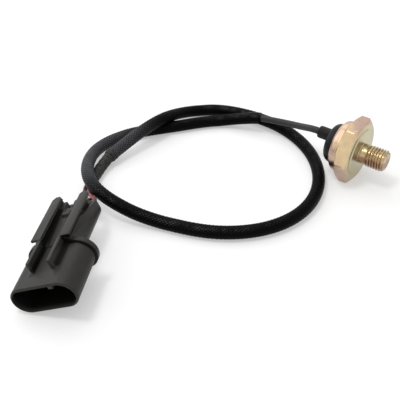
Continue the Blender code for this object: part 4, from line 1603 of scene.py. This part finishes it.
@dataclass
class Studio:
    """Camera, white floor, sky and lamps."""

    eye: Point = (0.0894, -0.2326, 0.1794)
    right: Point = (0.7986, 0.6018, 0.0)
    forward: Point = (-0.4660, 0.6184, -0.6327)
    lens: float = 57.8
    sensor: float = 36.0
    near: float = 0.01
    bright_side: Point = (-0.78, 0.12, 0.62)
    dim_sky: float = 0.34
    bright_sky: float = 0.85
    floor_glow: float = 0.40
    floor_tone: float = 0.60
    floor_size: float = 3.0
    target: Point = (-0.045, -0.065, 0.0)

    def build_camera(self) -> None:
        """Places the camera where the photograph was taken from."""
        forward = Vector(self.forward).normalized()
        right = Vector(self.right).normalized()
        up = right.cross(forward)
        camera = bpy.data.cameras.new("camera")
        camera.lens = self.lens
        camera.sensor_width = self.sensor
        camera.clip_start = self.near
        made = bpy.data.objects.new("camera", camera)
        bpy.context.scene.collection.objects.link(made)
        turn = Matrix((right, up, -forward)).transposed().to_4x4()
        made.matrix_world = Matrix.Translation(self.eye) @ turn
        bpy.context.scene.camera = made

    def seen(self, bench: Bench) -> bpy.types.NodeSocket:
        """Gives 1 for rays that show the background: camera, glossy and transmission rays.

        Args:
            bench: The bench of the floor or the sky.

        Returns:
            The share's socket.
        """
        path = bench.add("ShaderNodeLightPath").outputs
        seen = bench.math("MAXIMUM", path["Is Camera Ray"], path["Is Glossy Ray"])
        return bench.math("MAXIMUM", seen, path["Is Transmission Ray"])

    def build_floor(self) -> None:
        """Lays a white floor that keeps the object's shadow."""
        half = self.floor_size / 2
        outline = [(-half, -half, 0.0), (half, -half, 0.0), (half, half, 0.0), (-half, half, 0.0)]
        mesh = bpy.data.meshes.new("floor")
        mesh.from_pydata(outline, [], [(0, 1, 2, 3)])
        material = bpy.data.materials.new("white_floor")
        material.use_nodes = True
        bench = Bench(material.node_tree)
        bench.tree.nodes.clear()
        tone = (self.floor_tone, self.floor_tone, self.floor_tone, 1.0)
        matt = bench.add("ShaderNodeBsdfDiffuse", {"Color": tone})
        glow = bench.add("ShaderNodeEmission")
        strength = bench.math("MULTIPLY", self.seen(bench), self.floor_glow)
        bench.plug_in(glow.inputs["Strength"], strength)
        both = bench.add("ShaderNodeAddShader", {0: matt.outputs[0], 1: glow.outputs[0]})
        bench.add("ShaderNodeOutputMaterial", {"Surface": both.outputs[0]})
        mesh.materials.append(material)
        link_mesh("floor", mesh)

    def build_sky(self) -> None:
        """Makes a sky that looks white, and lights the object most from the upper left."""
        world = bpy.data.worlds.new("sky")
        bpy.context.scene.world = world
        world.use_nodes = True
        bench = Bench(world.node_tree)
        background = world.node_tree.nodes["Background"]
        background.inputs["Color"].default_value = (1.0, 1.0, 1.0, 1.0)
        ray = bench.add("ShaderNodeTexCoord").outputs["Generated"]
        inputs = {
            "Value": bench.dot(ray, Vector(self.bright_side).normalized()),
            "From Min": -0.5,
            "From Max": 0.9,
            "To Min": self.dim_sky,
            "To Max": self.bright_sky,
        }
        share = bench.add("ShaderNodeMapRange", inputs).outputs["Result"]
        bench.plug_in(background.inputs["Strength"], bench.math("MAXIMUM", share, self.seen(bench)))

    def build_lamps(self) -> None:
        """Hangs a key lamp for the stud's highlight, and wide ones above, left and behind."""
        for name, place, size, power in (
            ("key", (-0.17, -0.235, 0.66), 0.16, 1.4),
            ("overhead", (-0.30, 0.12, 0.75), 0.60, 0.9),
            ("left", (-0.66, -0.08, 0.36), 0.50, 1.0),
            ("back", (-0.40, 0.42, 0.40), 0.40, 0.25),
        ):
            Lamp(name, place, self.target, size, power).build()

    def build(self) -> None:
        """Makes the floor, the sky and the lamps, and shows colours as they are lit."""
        self.build_floor()
        self.build_sky()
        self.build_lamps()
        bpy.context.scene.view_settings.view_transform = "Standard"


def main() -> None:
    """Builds the camera, the cords, the head, the plug and the studio."""
    logging.basicConfig(level=logging.INFO, format="%(message)s")
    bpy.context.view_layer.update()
    studio = Studio()
    studio.build_camera()
    CordRun().build()
    SensorHead().build()
    Plug().build()
    studio.build()


if __name__ == "__main__":
    main()
